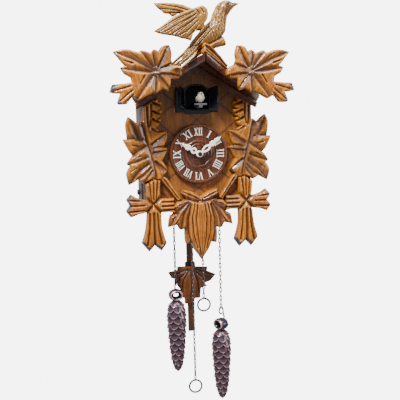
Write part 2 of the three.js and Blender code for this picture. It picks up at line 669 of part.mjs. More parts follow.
// ---- cuckoo stage, doors and bird ---------------------------------------------------------
const STAGE_ARCH_HALF = 10.4;
const STAGE_SILL_Z = 39.6;
const STAGE_SPRING_Z = 54.6;
const STAGE_ARCH_TOP_Z = 60.2;
const STAGE_WALL = 1.4;
const STAGE_BACK_Y = -13;
const archHole = new THREE.Shape();
archHole.moveTo(-STAGE_ARCH_HALF, STAGE_SILL_Z);
archHole.lineTo(STAGE_ARCH_HALF, STAGE_SILL_Z);
archHole.lineTo(STAGE_ARCH_HALF, STAGE_SPRING_Z);
archHole.quadraticCurveTo(STAGE_ARCH_HALF * 0.75, STAGE_ARCH_TOP_Z, 0, STAGE_ARCH_TOP_Z);
archHole.quadraticCurveTo(-STAGE_ARCH_HALF * 0.75, STAGE_ARCH_TOP_Z, -STAGE_ARCH_HALF, STAGE_SPRING_Z);
const frameOuter = openingShape(
  OPENING_HALF_WIDTH - GAP,
  OPENING_BOTTOM_Z + GAP,
  OPENING_TOP_Z - GAP,
  OPENING_ARCH_TOP_Z - GAP,
);
const stageFrame = plate(frameOuter, 0.5, 5.2, 5);
const tunnelHalf = STAGE_ARCH_HALF + STAGE_WALL;
const tunnelBottomZ = STAGE_SILL_Z - STAGE_WALL;
const tunnelTopZ = STAGE_ARCH_TOP_Z + STAGE_WALL;
const tunnel = box(-tunnelHalf, tunnelHalf, FRONT_Y + BOARD + GAP, STAGE_BACK_Y, tunnelBottomZ, tunnelTopZ);
const roomBackY = STAGE_BACK_Y - STAGE_WALL;
const tunnelRoom = box(-STAGE_ARCH_HALF, STAGE_ARCH_HALF, FRONT_Y + BOARD, roomBackY, STAGE_SILL_Z, STAGE_ARCH_TOP_Z);
const archCut = plate(archHole, 6, 11, 5);
const APRON_HALF = 11.4;
const APRON_TOP_Z = 38.6;
const apronShape = shapeOf([
  [-APRON_HALF, APRON_TOP_Z],
  [APRON_HALF, APRON_TOP_Z],
  [APRON_HALF, 36],
  [8, 35.3],
  [-8, 35.3],
  [-APRON_HALF, 36],
]);
const apron = plate(apronShape, 1.5, 1.2);
const lugs = [];
for (const side of [-1, 1]) {
  const near = Math.min(side * 10.5, side * 12.3);
  const far = Math.max(side * 10.5, side * 12.3);
  lugs.push(box(near, far, FRONT_Y - 2.3, FRONT_Y - 0.2, 38.4, 39.8));
}
const stageSolid = combine(stageFrame, [tunnel, apron, ...lugs], [tunnelRoom, archCut]);
addNode("cuckoo_stage", stageSolid, blackPlastic());

const DOOR_HINGE_X = 11.4;
const DOOR_HINGE_Y = FRONT_Y - 1.5;
const DOOR_BOTTOM_Z = 40.2;
const DOOR_WIDTH = 11.1;
const DOOR_HINGE_TOP_Z = 55.6;
const DOOR_THICKNESS = 0.8;
function shutter(side) {
  const outline = new THREE.Shape();
  outline.moveTo(0, DOOR_BOTTOM_Z);
  outline.lineTo(-DOOR_WIDTH * side, DOOR_BOTTOM_Z);
  outline.lineTo(-DOOR_WIDTH * side, 59.4);
  outline.quadraticCurveTo(-4 * side, 59.2, 0, DOOR_HINGE_TOP_Z);
  const leaf = plate(outline, 0, DOOR_THICKNESS, 5);
  leaf.translate(0, -FRONT_Y - DOOR_THICKNESS / 2, 0);
  const knuckle = rodZ(0, 0, 0.7, DOOR_BOTTOM_Z, DOOR_HINGE_TOP_Z - 0.4, 10);
  return combine(leaf, [knuckle], []);
}
for (const [label, side] of SIDES) {
  const door = addNode(`shutter_${label}`, shutter(side), blackPlastic());
  door.position.set(DOOR_HINGE_X * side, DOOR_HINGE_Y, 0);
  door.rotation.z = side * DOOR_OPEN_ANGLE;
}

const PERCH_Y = FRONT_Y - BIRD_OUT_DEPTH;
const SLIDE_HALF_WIDTH = 1.6;
const PERCH_HALF_LENGTH = 5.5;
const PERCH_HALF_DEPTH = 1.2;
const SLIDE_BOTTOM_Z = 40.2;
const SLIDE_TOP_Z = 42;
const PERCH_BOTTOM_Z = 42.4;
const PERCH_TOP_Z = 44;
const perchFrontY = PERCH_Y - PERCH_HALF_DEPTH;
const perchBackY = PERCH_Y + PERCH_HALF_DEPTH;
const slideArm = box(-SLIDE_HALF_WIDTH, SLIDE_HALF_WIDTH, PERCH_Y, FRONT_Y + 3, SLIDE_BOTTOM_Z, SLIDE_TOP_Z);
const perchBar = box(-PERCH_HALF_LENGTH, PERCH_HALF_LENGTH, perchFrontY, perchBackY, PERCH_BOTTOM_Z, PERCH_TOP_Z);
const perchPost = box(-SLIDE_HALF_WIDTH, SLIDE_HALF_WIDTH, perchFrontY, perchBackY, SLIDE_BOTTOM_Z, 43);
addNode("bird_slide", combine(slideArm, [perchBar, perchPost], []), paint(0xb8b8c0, 0.4, 0));
const CUCKOO_BODY_RADIUS = 3.5;
const CUCKOO_HEAD_RADIUS = 2.3;
const cuckooBody = new THREE.SphereGeometry(CUCKOO_BODY_RADIUS, 14, 10);
cuckooBody.scale(1, 1.15, 1.15);
cuckooBody.translate(0, PERCH_Y, 48.4);
const cuckooHead = new THREE.SphereGeometry(CUCKOO_HEAD_RADIUS, 12, 8);
cuckooHead.translate(0, PERCH_Y - 0.9, 51.8);
const beak = new THREE.ConeGeometry(0.8, 2.6, 8);
beak.rotateX(Math.PI);
beak.translate(0, PERCH_Y - 3.8, 51.6);
addNode("cuckoo_bird", combine(cuckooBody, [cuckooHead, beak], []), ivoryPlastic());

// ---- pendulum -----------------------------------------------------------------------------
const PIN_RADIUS = 1;
const PIN_HEAD_RADIUS = 1.9;
const PIN_CLEARANCE = 0.4;
const HANGER_HALF_WIDTH = 4.6;
const hangerLeft = PENDULUM_X - HANGER_HALF_WIDTH;
const hangerRight = PENDULUM_X + HANGER_HALF_WIDTH;
const hangerPlate = box(hangerLeft, hangerRight, MOVEMENT_BACK_Y + GAP, -18.5, -22, -10.5);
const hangerPin = rodY(PENDULUM_X, PENDULUM_PIVOT_Z, PIN_RADIUS, -18.6, -13.6, 16);
const hangerHead = rodY(PENDULUM_X, PENDULUM_PIVOT_Z, PIN_HEAD_RADIUS, -14.2, -13.2, 16);
addNode("pendulum_hanger", combine(hangerPlate, [hangerPin, hangerHead], []), steel());
const ROD_HALF_WIDTH = 3.2;
const ROD_HALF_THICKNESS = 1.2;
const ROD_TOP_Z = -11.5;
const rodFrontY = PENDULUM_Y - ROD_HALF_THICKNESS;
const rodBackY = PENDULUM_Y + ROD_HALF_THICKNESS;
const rodLeft = PENDULUM_X - ROD_HALF_WIDTH;
const rodRight = PENDULUM_X + ROD_HALF_WIDTH;
const rodBlank = box(rodLeft, rodRight, rodFrontY, rodBackY, PENDULUM_BOTTOM_Z, ROD_TOP_Z);
const rodHole = rodY(PENDULUM_X, PENDULUM_PIVOT_Z, PIN_RADIUS + PIN_CLEARANCE, -20, 0, 16);
addNode("pendulum_rod", combine(rodBlank, [], [rodHole]), boardWood());
const pendulumLeafHalf = [
  [13.2, -107, 12.4, -110.6, 0, 0],
  [22.4, -113, 17.4, -118.6, 0.6, 0.6],
  [16.2, -120.4, 13.4, -122.4, 0, 0.2],
  [12, -127, 8.6, -127.8, 0.4, 0.4],
  [8.4, -134.6, 5, -136.2, 0.6, 0.2],
];
function pendulumLeafShape() {
  const top = [0, -107];
  const half = leafShape(top, pendulumLeafHalf, 1).getPoints(3);
  const right = [...half, new THREE.Vector2(3.2, -141)];
  const left = right.slice(1).reverse().map((p) => new THREE.Vector2(-p.x, p.y));
  return new THREE.Shape([...right, ...left]);
}
const bob = plate(pendulumLeafShape(), 0, 3);
bob.translate(PENDULUM_X, PENDULUM_Y - 6 - FRONT_Y, 0);
addNode("pendulum_leaf", bob, carvedWood());
const CLIP_TOP_Z = -103;
const CLIP_BOTTOM_Z = -109;
const CLIP_HALF_WIDTH = 4.6;
const CLIP_FIT = 0.4;
const clipFrontY = PENDULUM_Y - 2.7;
const clipBackY = PENDULUM_Y + 2.4;
const clipLeft = PENDULUM_X - CLIP_HALF_WIDTH;
const clipRight = PENDULUM_X + CLIP_HALF_WIDTH;
const clipBlank = box(clipLeft, clipRight, clipFrontY, clipBackY, CLIP_BOTTOM_Z, CLIP_TOP_Z);
const clipSlot = box(rodLeft - CLIP_FIT, rodRight + CLIP_FIT, rodFrontY - CLIP_FIT, rodBackY + CLIP_FIT, -120, -90);
addNode("pendulum_clip", combine(clipBlank, [], [clipSlot]), blackPlastic());

// ---- chains, hooks, pinecones and rings ---------------------------------------------------
const STRANDS = {
  left: { weightEnd: -113, ringEnd: -212.4, turn: 0 },
  right: { weightEnd: -144.2, ringEnd: -134.6, turn: THREE.MathUtils.degToRad(-62) },
};
const chainSides = 8;

const HOOK_WIRE_RADIUS = 0.6;
const RING_RADIUS = 5.9;
const RING_WIRE_RADIUS = 0.65;

// Wire hook in the YZ plane: closed eye at the top round the last link, open bend below it.
function hookGeometry() {
  const points = [
    [0, 1, -6.9],
    [0, -1, -7.1],
    [0, -2.3, -5.6],
    [0, -2.4, -3.6],
    [0, -1.6, -1.6],
    [0, 0, -0.9],
    [0, 1.6, -1.6],
    [0, 2.4, -3.6],
    [0, 2.5, -6],
    [0, 3.1, -9],
    [0, 3.6, -11.4],
    [0, 2.8, -13.7],
    [0, -0.6, -15.1],
    [0, -4, -13.7],
    [0, -4.8, -11.2],
  ];
  return tube(points, HOOK_WIRE_RADIUS, 48, 8);
}

// Hanging cone: a bead with a flared eye, a neck and a slim body.
const BEAD_Z = -16.9;
const CONE_SHIFT_Y = -0.6;
function coneGeometry() {
  const profile = [
    [0, -78.5],
    [2.6, -77],
    [4.6, -72.4],
    [5.8, -66],
    [6.7, -57.8],
    [7.7, -42.6],
    [8.3, -34.2],
    [8.5, -27.9],
    [8.2, -21.5],
    [7.1, -15.6],
    [5.6, -13],
    [3.9, -11],
    [3.9, -9.4],
    [0, -9.4],
  ];
  const body = new THREE.LatheGeometry(profile.map(([r, h]) => new THREE.Vector2(r, h)), 20);
  body.rotateX(Math.PI / 2);
  body.translate(0, 0, BEAD_Z + 5.5);
  const bead = new THREE.SphereGeometry(1, 20, 12);
  bead.scale(6.9, 5, 5.5);
  bead.translate(0, 0, BEAD_Z);
  const eyeProfile = [[0, -6], [5.5, -6], [2.2, 0], [5.5, 6], [0, 6]];
  const eye = new THREE.LatheGeometry(eyeProfile.map(([r, h]) => new THREE.Vector2(r, h)), 16);
  eye.translate(0, 0, BEAD_Z + 0.8);
  const cone = combine(body, [bead], [eye]);
  cone.translate(0, CONE_SHIFT_Y, 0);
  return cone;
}

for (const [label, side] of SIDES) {
  const strand = STRANDS[label];
  const weightX = WEIGHT_STRAND_X * side;
  const ringX = RING_STRAND_X * side;
  const loop = [[weightX, CHAIN_Y, strand.weightEnd], [weightX, CHAIN_Y, -80], [weightX, CHAIN_Y, -44]];
  const middleX = (weightX + ringX) / 2;
  const loopRadius = Math.abs(weightX - ringX) / 2;
  for (const angle of [0, 30, 60, 90, 120, 150]) {
    const a = THREE.MathUtils.degToRad(angle);
    loop.push([middleX + side * loopRadius * Math.cos(a), CHAIN_Y, ROLLER_Z + loopRadius * Math.sin(a)]);
  }
  loop.push([ringX, CHAIN_Y, ROLLER_Z]);
  loop.push([ringX, CHAIN_Y, ROLLER_Z - 4]);
  addNode(`chain_weight_${label}`, tube(loop, CHAIN_DIAMETER / 2, 36, chainSides), steel());
  const ringStrand = rodZ(ringX, CHAIN_Y, CHAIN_DIAMETER / 2, strand.ringEnd, ROLLER_Z - 4 - GAP, chainSides);
  addNode(`chain_ring_${label}`, ringStrand, steel());

  const weight = new THREE.Group();
  weight.position.set(weightX, CHAIN_Y, strand.weightEnd);
  weight.rotation.z = strand.turn;
  dialFrame.add(weight);
  addNode(`weight_hook_${label}`, hookGeometry(), darkSteel(), weight);
  addNode(`pinecone_${label}`, coneGeometry(), coneFinish(), weight);

  const ringProfile = [];
  for (let i = 0; i <= 8; i += 1) {
    const a = (i / 8) * Math.PI * 2;
    const r = RING_RADIUS + RING_WIRE_RADIUS * Math.cos(a);
    ringProfile.push(new THREE.Vector2(r, RING_WIRE_RADIUS * Math.sin(a)));
  }
  const ring = new THREE.LatheGeometry(ringProfile, 32);
  ring.translate(ringX, CHAIN_Y, strand.ringEnd - GAP - RING_RADIUS - RING_WIRE_RADIUS);
  addNode(`pull_ring_${label}`, ring, darkSteel());
}

export default clock;
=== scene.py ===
import bpy, bmesh, math, json
import numpy as np
from mathutils import Vector, Matrix
from mathutils.geometry import delaunay_2d_cdt

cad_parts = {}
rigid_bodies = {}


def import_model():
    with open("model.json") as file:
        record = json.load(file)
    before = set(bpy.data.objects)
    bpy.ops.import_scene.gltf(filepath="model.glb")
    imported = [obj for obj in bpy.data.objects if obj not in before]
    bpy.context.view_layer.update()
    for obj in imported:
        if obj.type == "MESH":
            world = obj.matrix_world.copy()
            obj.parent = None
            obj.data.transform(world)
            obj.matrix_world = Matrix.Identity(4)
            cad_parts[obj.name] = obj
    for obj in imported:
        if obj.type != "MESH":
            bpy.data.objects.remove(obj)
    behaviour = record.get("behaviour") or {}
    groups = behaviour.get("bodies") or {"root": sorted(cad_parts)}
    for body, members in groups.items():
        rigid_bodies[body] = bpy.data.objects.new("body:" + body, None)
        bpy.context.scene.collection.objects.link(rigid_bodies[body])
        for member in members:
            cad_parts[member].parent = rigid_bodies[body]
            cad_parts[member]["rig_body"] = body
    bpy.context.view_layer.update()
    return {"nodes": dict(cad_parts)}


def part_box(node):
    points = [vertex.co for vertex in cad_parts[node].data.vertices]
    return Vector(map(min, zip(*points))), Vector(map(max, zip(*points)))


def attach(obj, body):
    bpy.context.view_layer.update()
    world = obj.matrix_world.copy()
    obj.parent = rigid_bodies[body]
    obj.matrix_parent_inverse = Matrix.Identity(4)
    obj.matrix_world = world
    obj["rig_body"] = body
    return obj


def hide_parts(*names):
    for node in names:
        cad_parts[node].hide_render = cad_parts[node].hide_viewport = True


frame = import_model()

scene = bpy.context.scene
rng = np.random.default_rng(7)

# ---- the clock's own frame: x across, d depth in front of the case front, z up from the dial's centre, mm 
FRONT_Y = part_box("front_panel")[0][1] * 1000
DIAL_LO, DIAL_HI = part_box("dial")
DIAL_Z = (DIAL_LO[2] + DIAL_HI[2]) / 2 * 1000


def at(x, d, z):
    return (x / 1000, (FRONT_Y - d) / 1000, (z + DIAL_Z) / 1000)


# ---- camera ----------------------------------------------------------------------------------------------
CAMERA_AZIMUTH, CAMERA_ELEVATION, CAMERA_ROLL = (math.radians(a) for a in (-12.34, 5.98, -1.45))
CAMERA_DISTANCE = 0.601
CAMERA_TARGET = (0.9, 0, -41.6)
SENSOR_WIDTH = 36
FOCAL_LENGTH = SENSOR_WIDTH * 668 / 400


def set_camera():
    az, el, roll = CAMERA_AZIMUTH, CAMERA_ELEVATION, CAMERA_ROLL
    back = Vector((math.sin(az) * math.cos(el), -math.cos(az) * math.cos(el), math.sin(el)))
    right = Vector((math.cos(az), math.sin(az), 0))
    up = back.cross(right).normalized()
    axis_x = right * math.cos(roll) + up * math.sin(roll)
    axis_y = -right * math.sin(roll) + up * math.cos(roll)
    target = Vector(at(*CAMERA_TARGET))
    cam = bpy.data.objects.new("camera", bpy.data.cameras.new("camera"))
    scene.collection.objects.link(cam)
    cam.data.sensor_width = SENSOR_WIDTH
    cam.data.lens = FOCAL_LENGTH
    cam.data.clip_start, cam.data.clip_end = 0.01, 20
    cam.matrix_world = Matrix.Translation(target + back * CAMERA_DISTANCE) @ Matrix(
        (axis_x, axis_y, back)).transposed().to_4x4()
    scene.camera = cam


set_camera()

# ---- materials -------------------------------------------------------------------------------------------


def lin(r, g, b):
    """Linear colour from 8-bit sRGB."""
    f = lambda c: c / 12.92 if c <= 0.04045 else ((c + 0.055) / 1.055) ** 2.4
    return (f(r / 255), f(g / 255), f(b / 255), 1)


class Shader:
    def __init__(self, name):
        self.mat = bpy.data.materials.new(name)
        self.mat.use_nodes = True
        self.nt = self.mat.node_tree
        self.bsdf = self.nt.nodes["Principled BSDF"]
        self.coord = self.nt.nodes.new("ShaderNodeTexCoord")

    def node(self, kind, **props):
        n = self.nt.nodes.new(kind)
        for k, v in props.items():
            setattr(n, k, v)
        return n

    def link(self, a, b):
        self.nt.links.new(a, b)

    def set(self, **values):
        for k, v in values.items():
            self.bsdf.inputs[k.replace("_", " ")].default_value = v

    def mapped(self, scale, angle=0.0):
        """Object coordinates turned about the depth axis, then scaled."""
        m = self.node("ShaderNodeMapping")
        m.inputs["Scale"].default_value = scale
        turned = self.node("ShaderNodeMapping")
        turned.inputs["Rotation"].default_value = (0, angle, 0)
        self.link(self.coord.outputs["Object"], turned.inputs["Vector"])
        self.link(turned.outputs["Vector"], m.inputs["Vector"])
        return m.outputs["Vector"]

    def noise(self, vector, scale, detail=4, rough=0.6, distortion=0.0):
        n = self.node("ShaderNodeTexNoise")
        n.inputs["Scale"].default_value = scale
        n.inputs["Detail"].default_value = detail
        n.inputs["Roughness"].default_value = rough
        n.inputs["Distortion"].default_value = distortion
        self.link(vector, n.inputs["Vector"])
        return n.outputs["Fac"]

    def attr(self, name):
        return self.node("ShaderNodeAttribute", attribute_name=name).outputs["Fac"]

    def ramp(self, fac, stops):
        r = self.node("ShaderNodeValToRGB")
        els = r.color_ramp.elements
        while len(els) < len(stops):
            els.new(0.5)
        for e, (p, c) in zip(els, stops):
            e.position = p
            e.color = c if len(c) == 4 else (c[0], c[0], c[0], 1)
        self.link(fac, r.inputs["Fac"])
        return r.outputs["Color"]

    def mix(self, a, b, fac, mode="MIX"):
        m = self.node("ShaderNodeMix", data_type="RGBA", blend_type=mode)
        for sock, v in ((m.inputs[0], fac), (m.inputs[6], a), (m.inputs[7], b)):
            if hasattr(v, "is_output"):
                self.link(v, sock)
            else:
                sock.default_value = v
        return m.outputs[2]

    def math(self, op, a, b=0.0, clamp=False):
        m = self.node("ShaderNodeMath", operation=op, use_clamp=clamp)
        for sock, v in ((m.inputs[0], a), (m.inputs[1], b)):
            if hasattr(v, "is_output"):
                self.link(v, sock)
            else:
                sock.default_value = v
        return m.outputs[0]

    def bump(self, height, strength, distance):
        b = self.node("ShaderNodeBump")
        b.inputs["Strength"].default_value = strength
        b.inputs["Distance"].default_value = distance
        self.link(height, b.inputs["Height"])
        self.link(b.outputs["Normal"], self.bsdf.inputs["Normal"])
        return b


# A wood's grain runs along z, turned by angle. Its "cav" darkens the cuts towards the cut colour, partly stain and
# partly painted shade, and its "rim" lightens the edges towards the light colour, partly wear and partly painted
# highlight.
def wood(name, dark, base, light, cut, angle=0.0, rough=0.3, coat=0.35, figure=1.0, streak=0.075):
    s = Shader(name)
    grain = s.mapped((1, 1, streak), angle)
    pores = s.mapped((1, 1, 0.03), angle)
    plain = s.mapped((1, 1, 1), angle)
    bands = s.noise(grain, 330 * figure, 5, 0.62, 1.2)
    fine = s.noise(grain, 1500 * figure, 4, 0.7)
    lines = s.noise(pores, 3800, 2, 0.5)
    cloud = s.noise(plain, 42, 3, 0.6)
    tone = s.math("ADD", s.math("MULTIPLY", bands, 0.62), s.math("MULTIPLY", fine, 0.38))
    colour = s.ramp(tone, [(0.3, dark), (0.5, base), (0.7, light)])
    patch = s.ramp(cloud, [(0.32, (0.72,)), (0.68, (1.18,))])
    colour = s.mix(colour, patch, 1.0, "MULTIPLY")
    pore = s.ramp(lines, [(0.34, (0.45,)), (0.42, (1.0,))])
    colour = s.mix(colour, pore, 0.55, "MULTIPLY")
    cav = s.attr("cav")
    rim = s.attr("rim")
    # painted highlight: rim lightens the edges towards the light colour, partly wear and partly painted highlight
    wear_and_highlight = s.math("MULTIPLY", rim, s.math("ADD", s.math("MULTIPLY", fine, 0.8), 0.1), True)
    colour = s.mix(colour, light, wear_and_highlight)
    # painted shade: cav darkens the cuts towards the cut colour, partly stain and partly painted shade
    colour = s.mix(colour, cut, s.math("MULTIPLY", cav, 0.92, True))
    s.link(colour, s.bsdf.inputs["Base Color"])
    r = s.math("ADD", s.math("MULTIPLY", fine, 0.16), rough - 0.08)
    r = s.math("ADD", r, s.math("MULTIPLY", cav, 0.2))
    s.link(r, s.bsdf.inputs["Roughness"])
    s.set(Coat_Weight=coat, Coat_Roughness=0.12, Specular_IOR_Level=0.5)
    h = s.math("ADD", s.math("MULTIPLY", bands, 0.5), s.math("MULTIPLY", pore, 0.5))
    s.bump(h, 0.35, 0.00025)
    return s.mat


# Each wood's cut colour is painted into its cuts as stain and painted shade, and its light colour onto its edges as
# wear and painted highlight.
CARVED = dict(dark=lin(92, 46, 8), base=lin(158, 90, 18), light=lin(224, 150, 50), cut=lin(30, 11, 3))
mat_carved = wood("carved_linden", **CARVED, angle=0.25, rough=0.27, coat=0.5)
mat_carved_b = wood("carved_linden_b", **CARVED, angle=-0.6, rough=0.27, coat=0.5)
mat_cross = wood("carved_cross", dark=lin(92, 44, 12), base=lin(154, 84, 20), light=lin(216, 144, 56),
                 cut=lin(30, 11, 4), rough=0.25, coat=0.6)
mat_panel = wood("panel_board", dark=lin(92, 50, 14), base=lin(134, 80, 26), light=lin(166, 108, 42),
                 cut=lin(74, 38, 14), rough=0.34, coat=0.35)
mat_roof = wood("roof_stain", dark=lin(34, 12, 8), base=lin(70, 28, 14), light=lin(112, 52, 26), cut=lin(16, 6, 6),
                angle=math.radians(90), rough=0.28, coat=0.5)
mat_mould = wood("mould_stain", dark=lin(42, 15, 8), base=lin(88, 36, 14), light=lin(164, 88, 42),
                 cut=lin(20, 7, 5), angle=math.radians(60), rough=0.26, coat=0.5)
# painted sheen: the side and floor boards are dark-stained wood given the grey of their grazing reflection as their
# colour
mat_side_sheen = wood("side_board_painted_sheen", dark=lin(62, 46, 40), base=lin(96, 78, 68), light=lin(128, 108, 96),
                cut=lin(34, 26, 24), rough=0.4, coat=0.2)
mat_bird = wood("bird_linden", dark=lin(78, 42, 10), base=lin(142, 92, 28), light=lin(224, 170, 80),
                cut=lin(34, 14, 6), angle=-0.75, rough=0.3, coat=0.45)
mat_dial = wood("dial_stain", dark=lin(50, 22, 10), base=lin(82, 40, 20), light=lin(112, 62, 34),
                cut=lin(24, 10, 6), rough=0.28, coat=0.4)
mat_stick = wood("stick_wood", dark=lin(58, 26, 8), base=lin(98, 50, 16), light=lin(140, 80, 34), cut=lin(24, 9, 4),
                 rough=0.34, coat=0.35)
mat_ply = wood("back_plywood", dark=lin(150, 100, 54), base=lin(186, 136, 80), light=lin(212, 166, 108),
               cut=lin(90, 60, 36), rough=0.6, coat=0.0)
mat_endgrain = wood("stained_ends", dark=lin(40, 32, 32), base=lin(74, 62, 62), light=lin(124, 110, 110),
                    cut=lin(24, 18, 20), rough=0.34, coat=0.35, streak=1.0)


def plastic(name, colour, tint, rough=0.35, grit=2200, depth=0.00006, coat=0.0):
    s = Shader(name)
    p = s.mapped((1, 1, 1))
    n = s.noise(p, grit, 3, 0.6)
    broad = s.noise(p, 70, 3, 0.6)
    s.link(s.mix(colour, tint, s.math("MULTIPLY", broad, 0.8, True)), s.bsdf.inputs["Base Color"])
    s.link(s.math("ADD", s.math("MULTIPLY", broad, 0.18), rough - 0.09), s.bsdf.inputs["Roughness"])
    s.set(Coat_Weight=coat, Coat_Roughness=0.12)
    s.bump(n, 0.3, depth)
    return s.mat


mat_black = plastic("stage_black", lin(10, 14, 24), lin(24, 32, 48), 0.26, coat=0.3)
mat_movement = plastic("movement_black", lin(16, 16, 18), lin(30, 30, 32), 0.5, 1500, 0.0001)
mat_ivory = plastic("ivory_mould", lin(255, 252, 236), lin(255, 255, 246), 0.4, 1800)
mat_bird_white = plastic("cuckoo_white", lin(226, 212, 186), lin(246, 238, 220), 0.45, 1400, 0.0001)
mat_grey = plastic("perch_grey", lin(70, 72, 80), lin(112, 114, 122), 0.4)
mat_cell = plastic("cell_jacket", lin(34, 40, 46), lin(54, 62, 70), 0.3, coat=0.4)


def metal(name, colour, tint, rough=0.3, scratch=2600, metallic=1.0, tarnish=None):
    s = Shader(name)
    p = s.mapped((1, 1, 1))
    n = s.noise(p, 420, 4, 0.65)
    f = s.noise(s.mapped((1, 1, 0.2)), scratch, 3, 0.6)
    c = s.mix(colour, tint, n)
    if tarnish:
        c = s.mix(c, tarnish, s.attr("cav"))
    s.link(c, s.bsdf.inputs["Base Color"])
    s.link(s.math("ADD", s.math("MULTIPLY", n, 0.25), rough - 0.12), s.bsdf.inputs["Roughness"])
    s.set(Metallic=metallic)
    s.bump(f, 0.25, 0.00004)
    return s.mat


mat_steel = metal("zinc_steel", lin(176, 176, 178), lin(206, 206, 206))
mat_chain = metal("antique_silver", lin(84, 80, 78), lin(158, 152, 148), 0.34)
mat_wire = metal("blackened_wire", lin(30, 34, 40), lin(62, 66, 74), 0.34, metallic=0.7)


def cone_paint():
    s = Shader("cone_paint")
    p = s.mapped((1, 1, 1))
    n = s.noise(p, 520, 4, 0.65)
    tip = s.attr("tip")
    cav = s.attr("cav")
    # copper on the raised scale edges: partly edge paint, partly painted highlight
    c = s.mix(lin(26, 36, 68), lin(120, 82, 82), s.ramp(tip, [(0.0, (0.0,)), (0.6, (1.0,))]))
    # painted highlight: near-white pink on the brightest scale edges
    c = s.mix(c, lin(222, 184, 180), s.ramp(s.math("MULTIPLY", tip, s.math("ADD", n, 0.5)),
                                            [(0.62, (0.0,)), (1.1, (1.0,))]))
    # painted shade: cav darkens the scale roots under the row above and the eye of the bead to near-black
    c = s.mix(c, lin(8, 11, 24), cav)
    s.link(c, s.bsdf.inputs["Base Color"])
    s.link(s.math("ADD", s.math("MULTIPLY", n, 0.22), 0.2), s.bsdf.inputs["Roughness"])
    s.set(Metallic=0.55, Coat_Weight=0.5, Coat_Roughness=0.15)
    s.bump(s.noise(p, 1700, 3, 0.6), 0.3, 0.0001)
    return s.mat


mat_cone = cone_paint()

# ---- mesh helpers ----------------------------------------------------------------------------------------


def make(name, verts, faces, mat, body, replaces=(), attrs=None, smooth=40.0):
    mesh = bpy.data.meshes.new(name)
    mesh.from_pydata([tuple(v) for v in verts], [], [tuple(int(i) for i in f) for f in faces])
    mesh.validate()
    mesh.update()
    for key, values in (attrs or {}).items():
        a = mesh.attributes.new(key, "FLOAT", "POINT")
        a.data.foreach_set("value", np.asarray(values, dtype=np.float32))
    mats = mat if isinstance(mat, (list, tuple)) else [mat]
    for m in mats:
        mesh.materials.append(m)
    obj = bpy.data.objects.new(name, mesh)
    scene.collection.objects.link(obj)
    if smooth:
        mesh.shade_smooth()
        mesh.set_sharp_from_angle(angle=math.radians(smooth))
    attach(obj, body)
    if replaces:
        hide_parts(*replaces)
    return obj


def curved(points, side=1, steps=5):
    """Closed outline in mm. A point is (x, z) or (x, z, bulge of the edge that leads to it)."""
    out = []
    n = len(points)
    for i in range(n):
        a, b = points[i], points[(i + 1) % n]
        bulge = b[2] if len(b) > 2 else 0
        out.append((a[0] * side, a[1]))
        if bulge:
            dx, dz = b[0] - a[0], b[1] - a[1]
            length = math.hypot(dx, dz)
            cx = (a[0] + b[0]) / 2 - dz / length * bulge
            cz = (a[1] + b[1]) / 2 + dx / length * bulge
            for k in range(1, steps):
                t = k / steps
                x = a[0] * (1 - t) ** 2 + 2 * cx * t * (1 - t) + b[0] * t * t
                z = a[1] * (1 - t) ** 2 + 2 * cz * t * (1 - t) + b[1] * t * t
                out.append((x * side, z))
    return out


def resample(points, step, closed=True):
    out = []
    n = len(points)
    for i in range(n if closed else n - 1):
        a, b = np.array(points[i], float), np.array(points[(i + 1) % n], float)
        k = max(1, int(math.ceil(np.linalg.norm(b - a) / step)))
        for j in range(k):
            out.append(a + (b - a) * j / k)
    if not closed:
        out.append(np.array(points[-1], float))
    return np.array(out)


def inside(pts, poly):
    x, z = pts[:, 0], pts[:, 1]
    hit = np.zeros(len(pts), bool)
    n = len(poly)
    for i in range(n):
        x1, z1 = poly[i]
        x2, z2 = poly[(i + 1) % n]
        if z1 == z2:
            continue
        cross = ((z1 > z) != (z2 > z)) & (x < (x2 - x1) * (z - z1) / (z2 - z1) + x1)
        hit ^= cross
    return hit


def line_dist(pts, line, closed=False):
    """Distance to a polyline, how far along it the nearest point is, and the side of the line a point is on."""
    line = np.array(line, float)
    if closed:
        line = np.vstack([line, line[:1]])
    seg = np.linalg.norm(np.diff(line, axis=0), axis=1)
    total = max(seg.sum(), 1e-9)
    best = np.full(len(pts), 1e9)
    frac = np.zeros(len(pts))
    hand_side = np.ones(len(pts))
    run = 0.0
    for a, b, length in zip(line[:-1], line[1:], seg):
        ab = b - a
        if length < 1e-9:
            continue
        t = np.clip(((pts - a) @ ab) / (length * length), 0, 1)
        d = np.linalg.norm(pts - (a + t[:, None] * ab), axis=1)
        nearer = d < best
        best[nearer] = d[nearer]
        frac[nearer] = ((run + t * length) / total)[nearer]
        turn = ab[0] * (pts[:, 1] - a[1]) - ab[1] * (pts[:, 0] - a[0])
        hand_side[nearer] = np.sign(turn)[nearer]
        run += length
    return best, frac, hand_side


def soft_noise(pts, scale, seed=0):
    """Smooth pseudo-random field from a few sines."""
    r = np.random.default_rng(seed)
    out = np.zeros(len(pts))
    for k in range(7):
        a = r.uniform(0, math.tau)
        f = scale * r.uniform(0.6, 1.7)
        out += np.sin((pts[:, 0] * math.cos(a) + pts[:, 1] * math.sin(a)) * f + r.uniform(0, math.tau))
    return out / 7


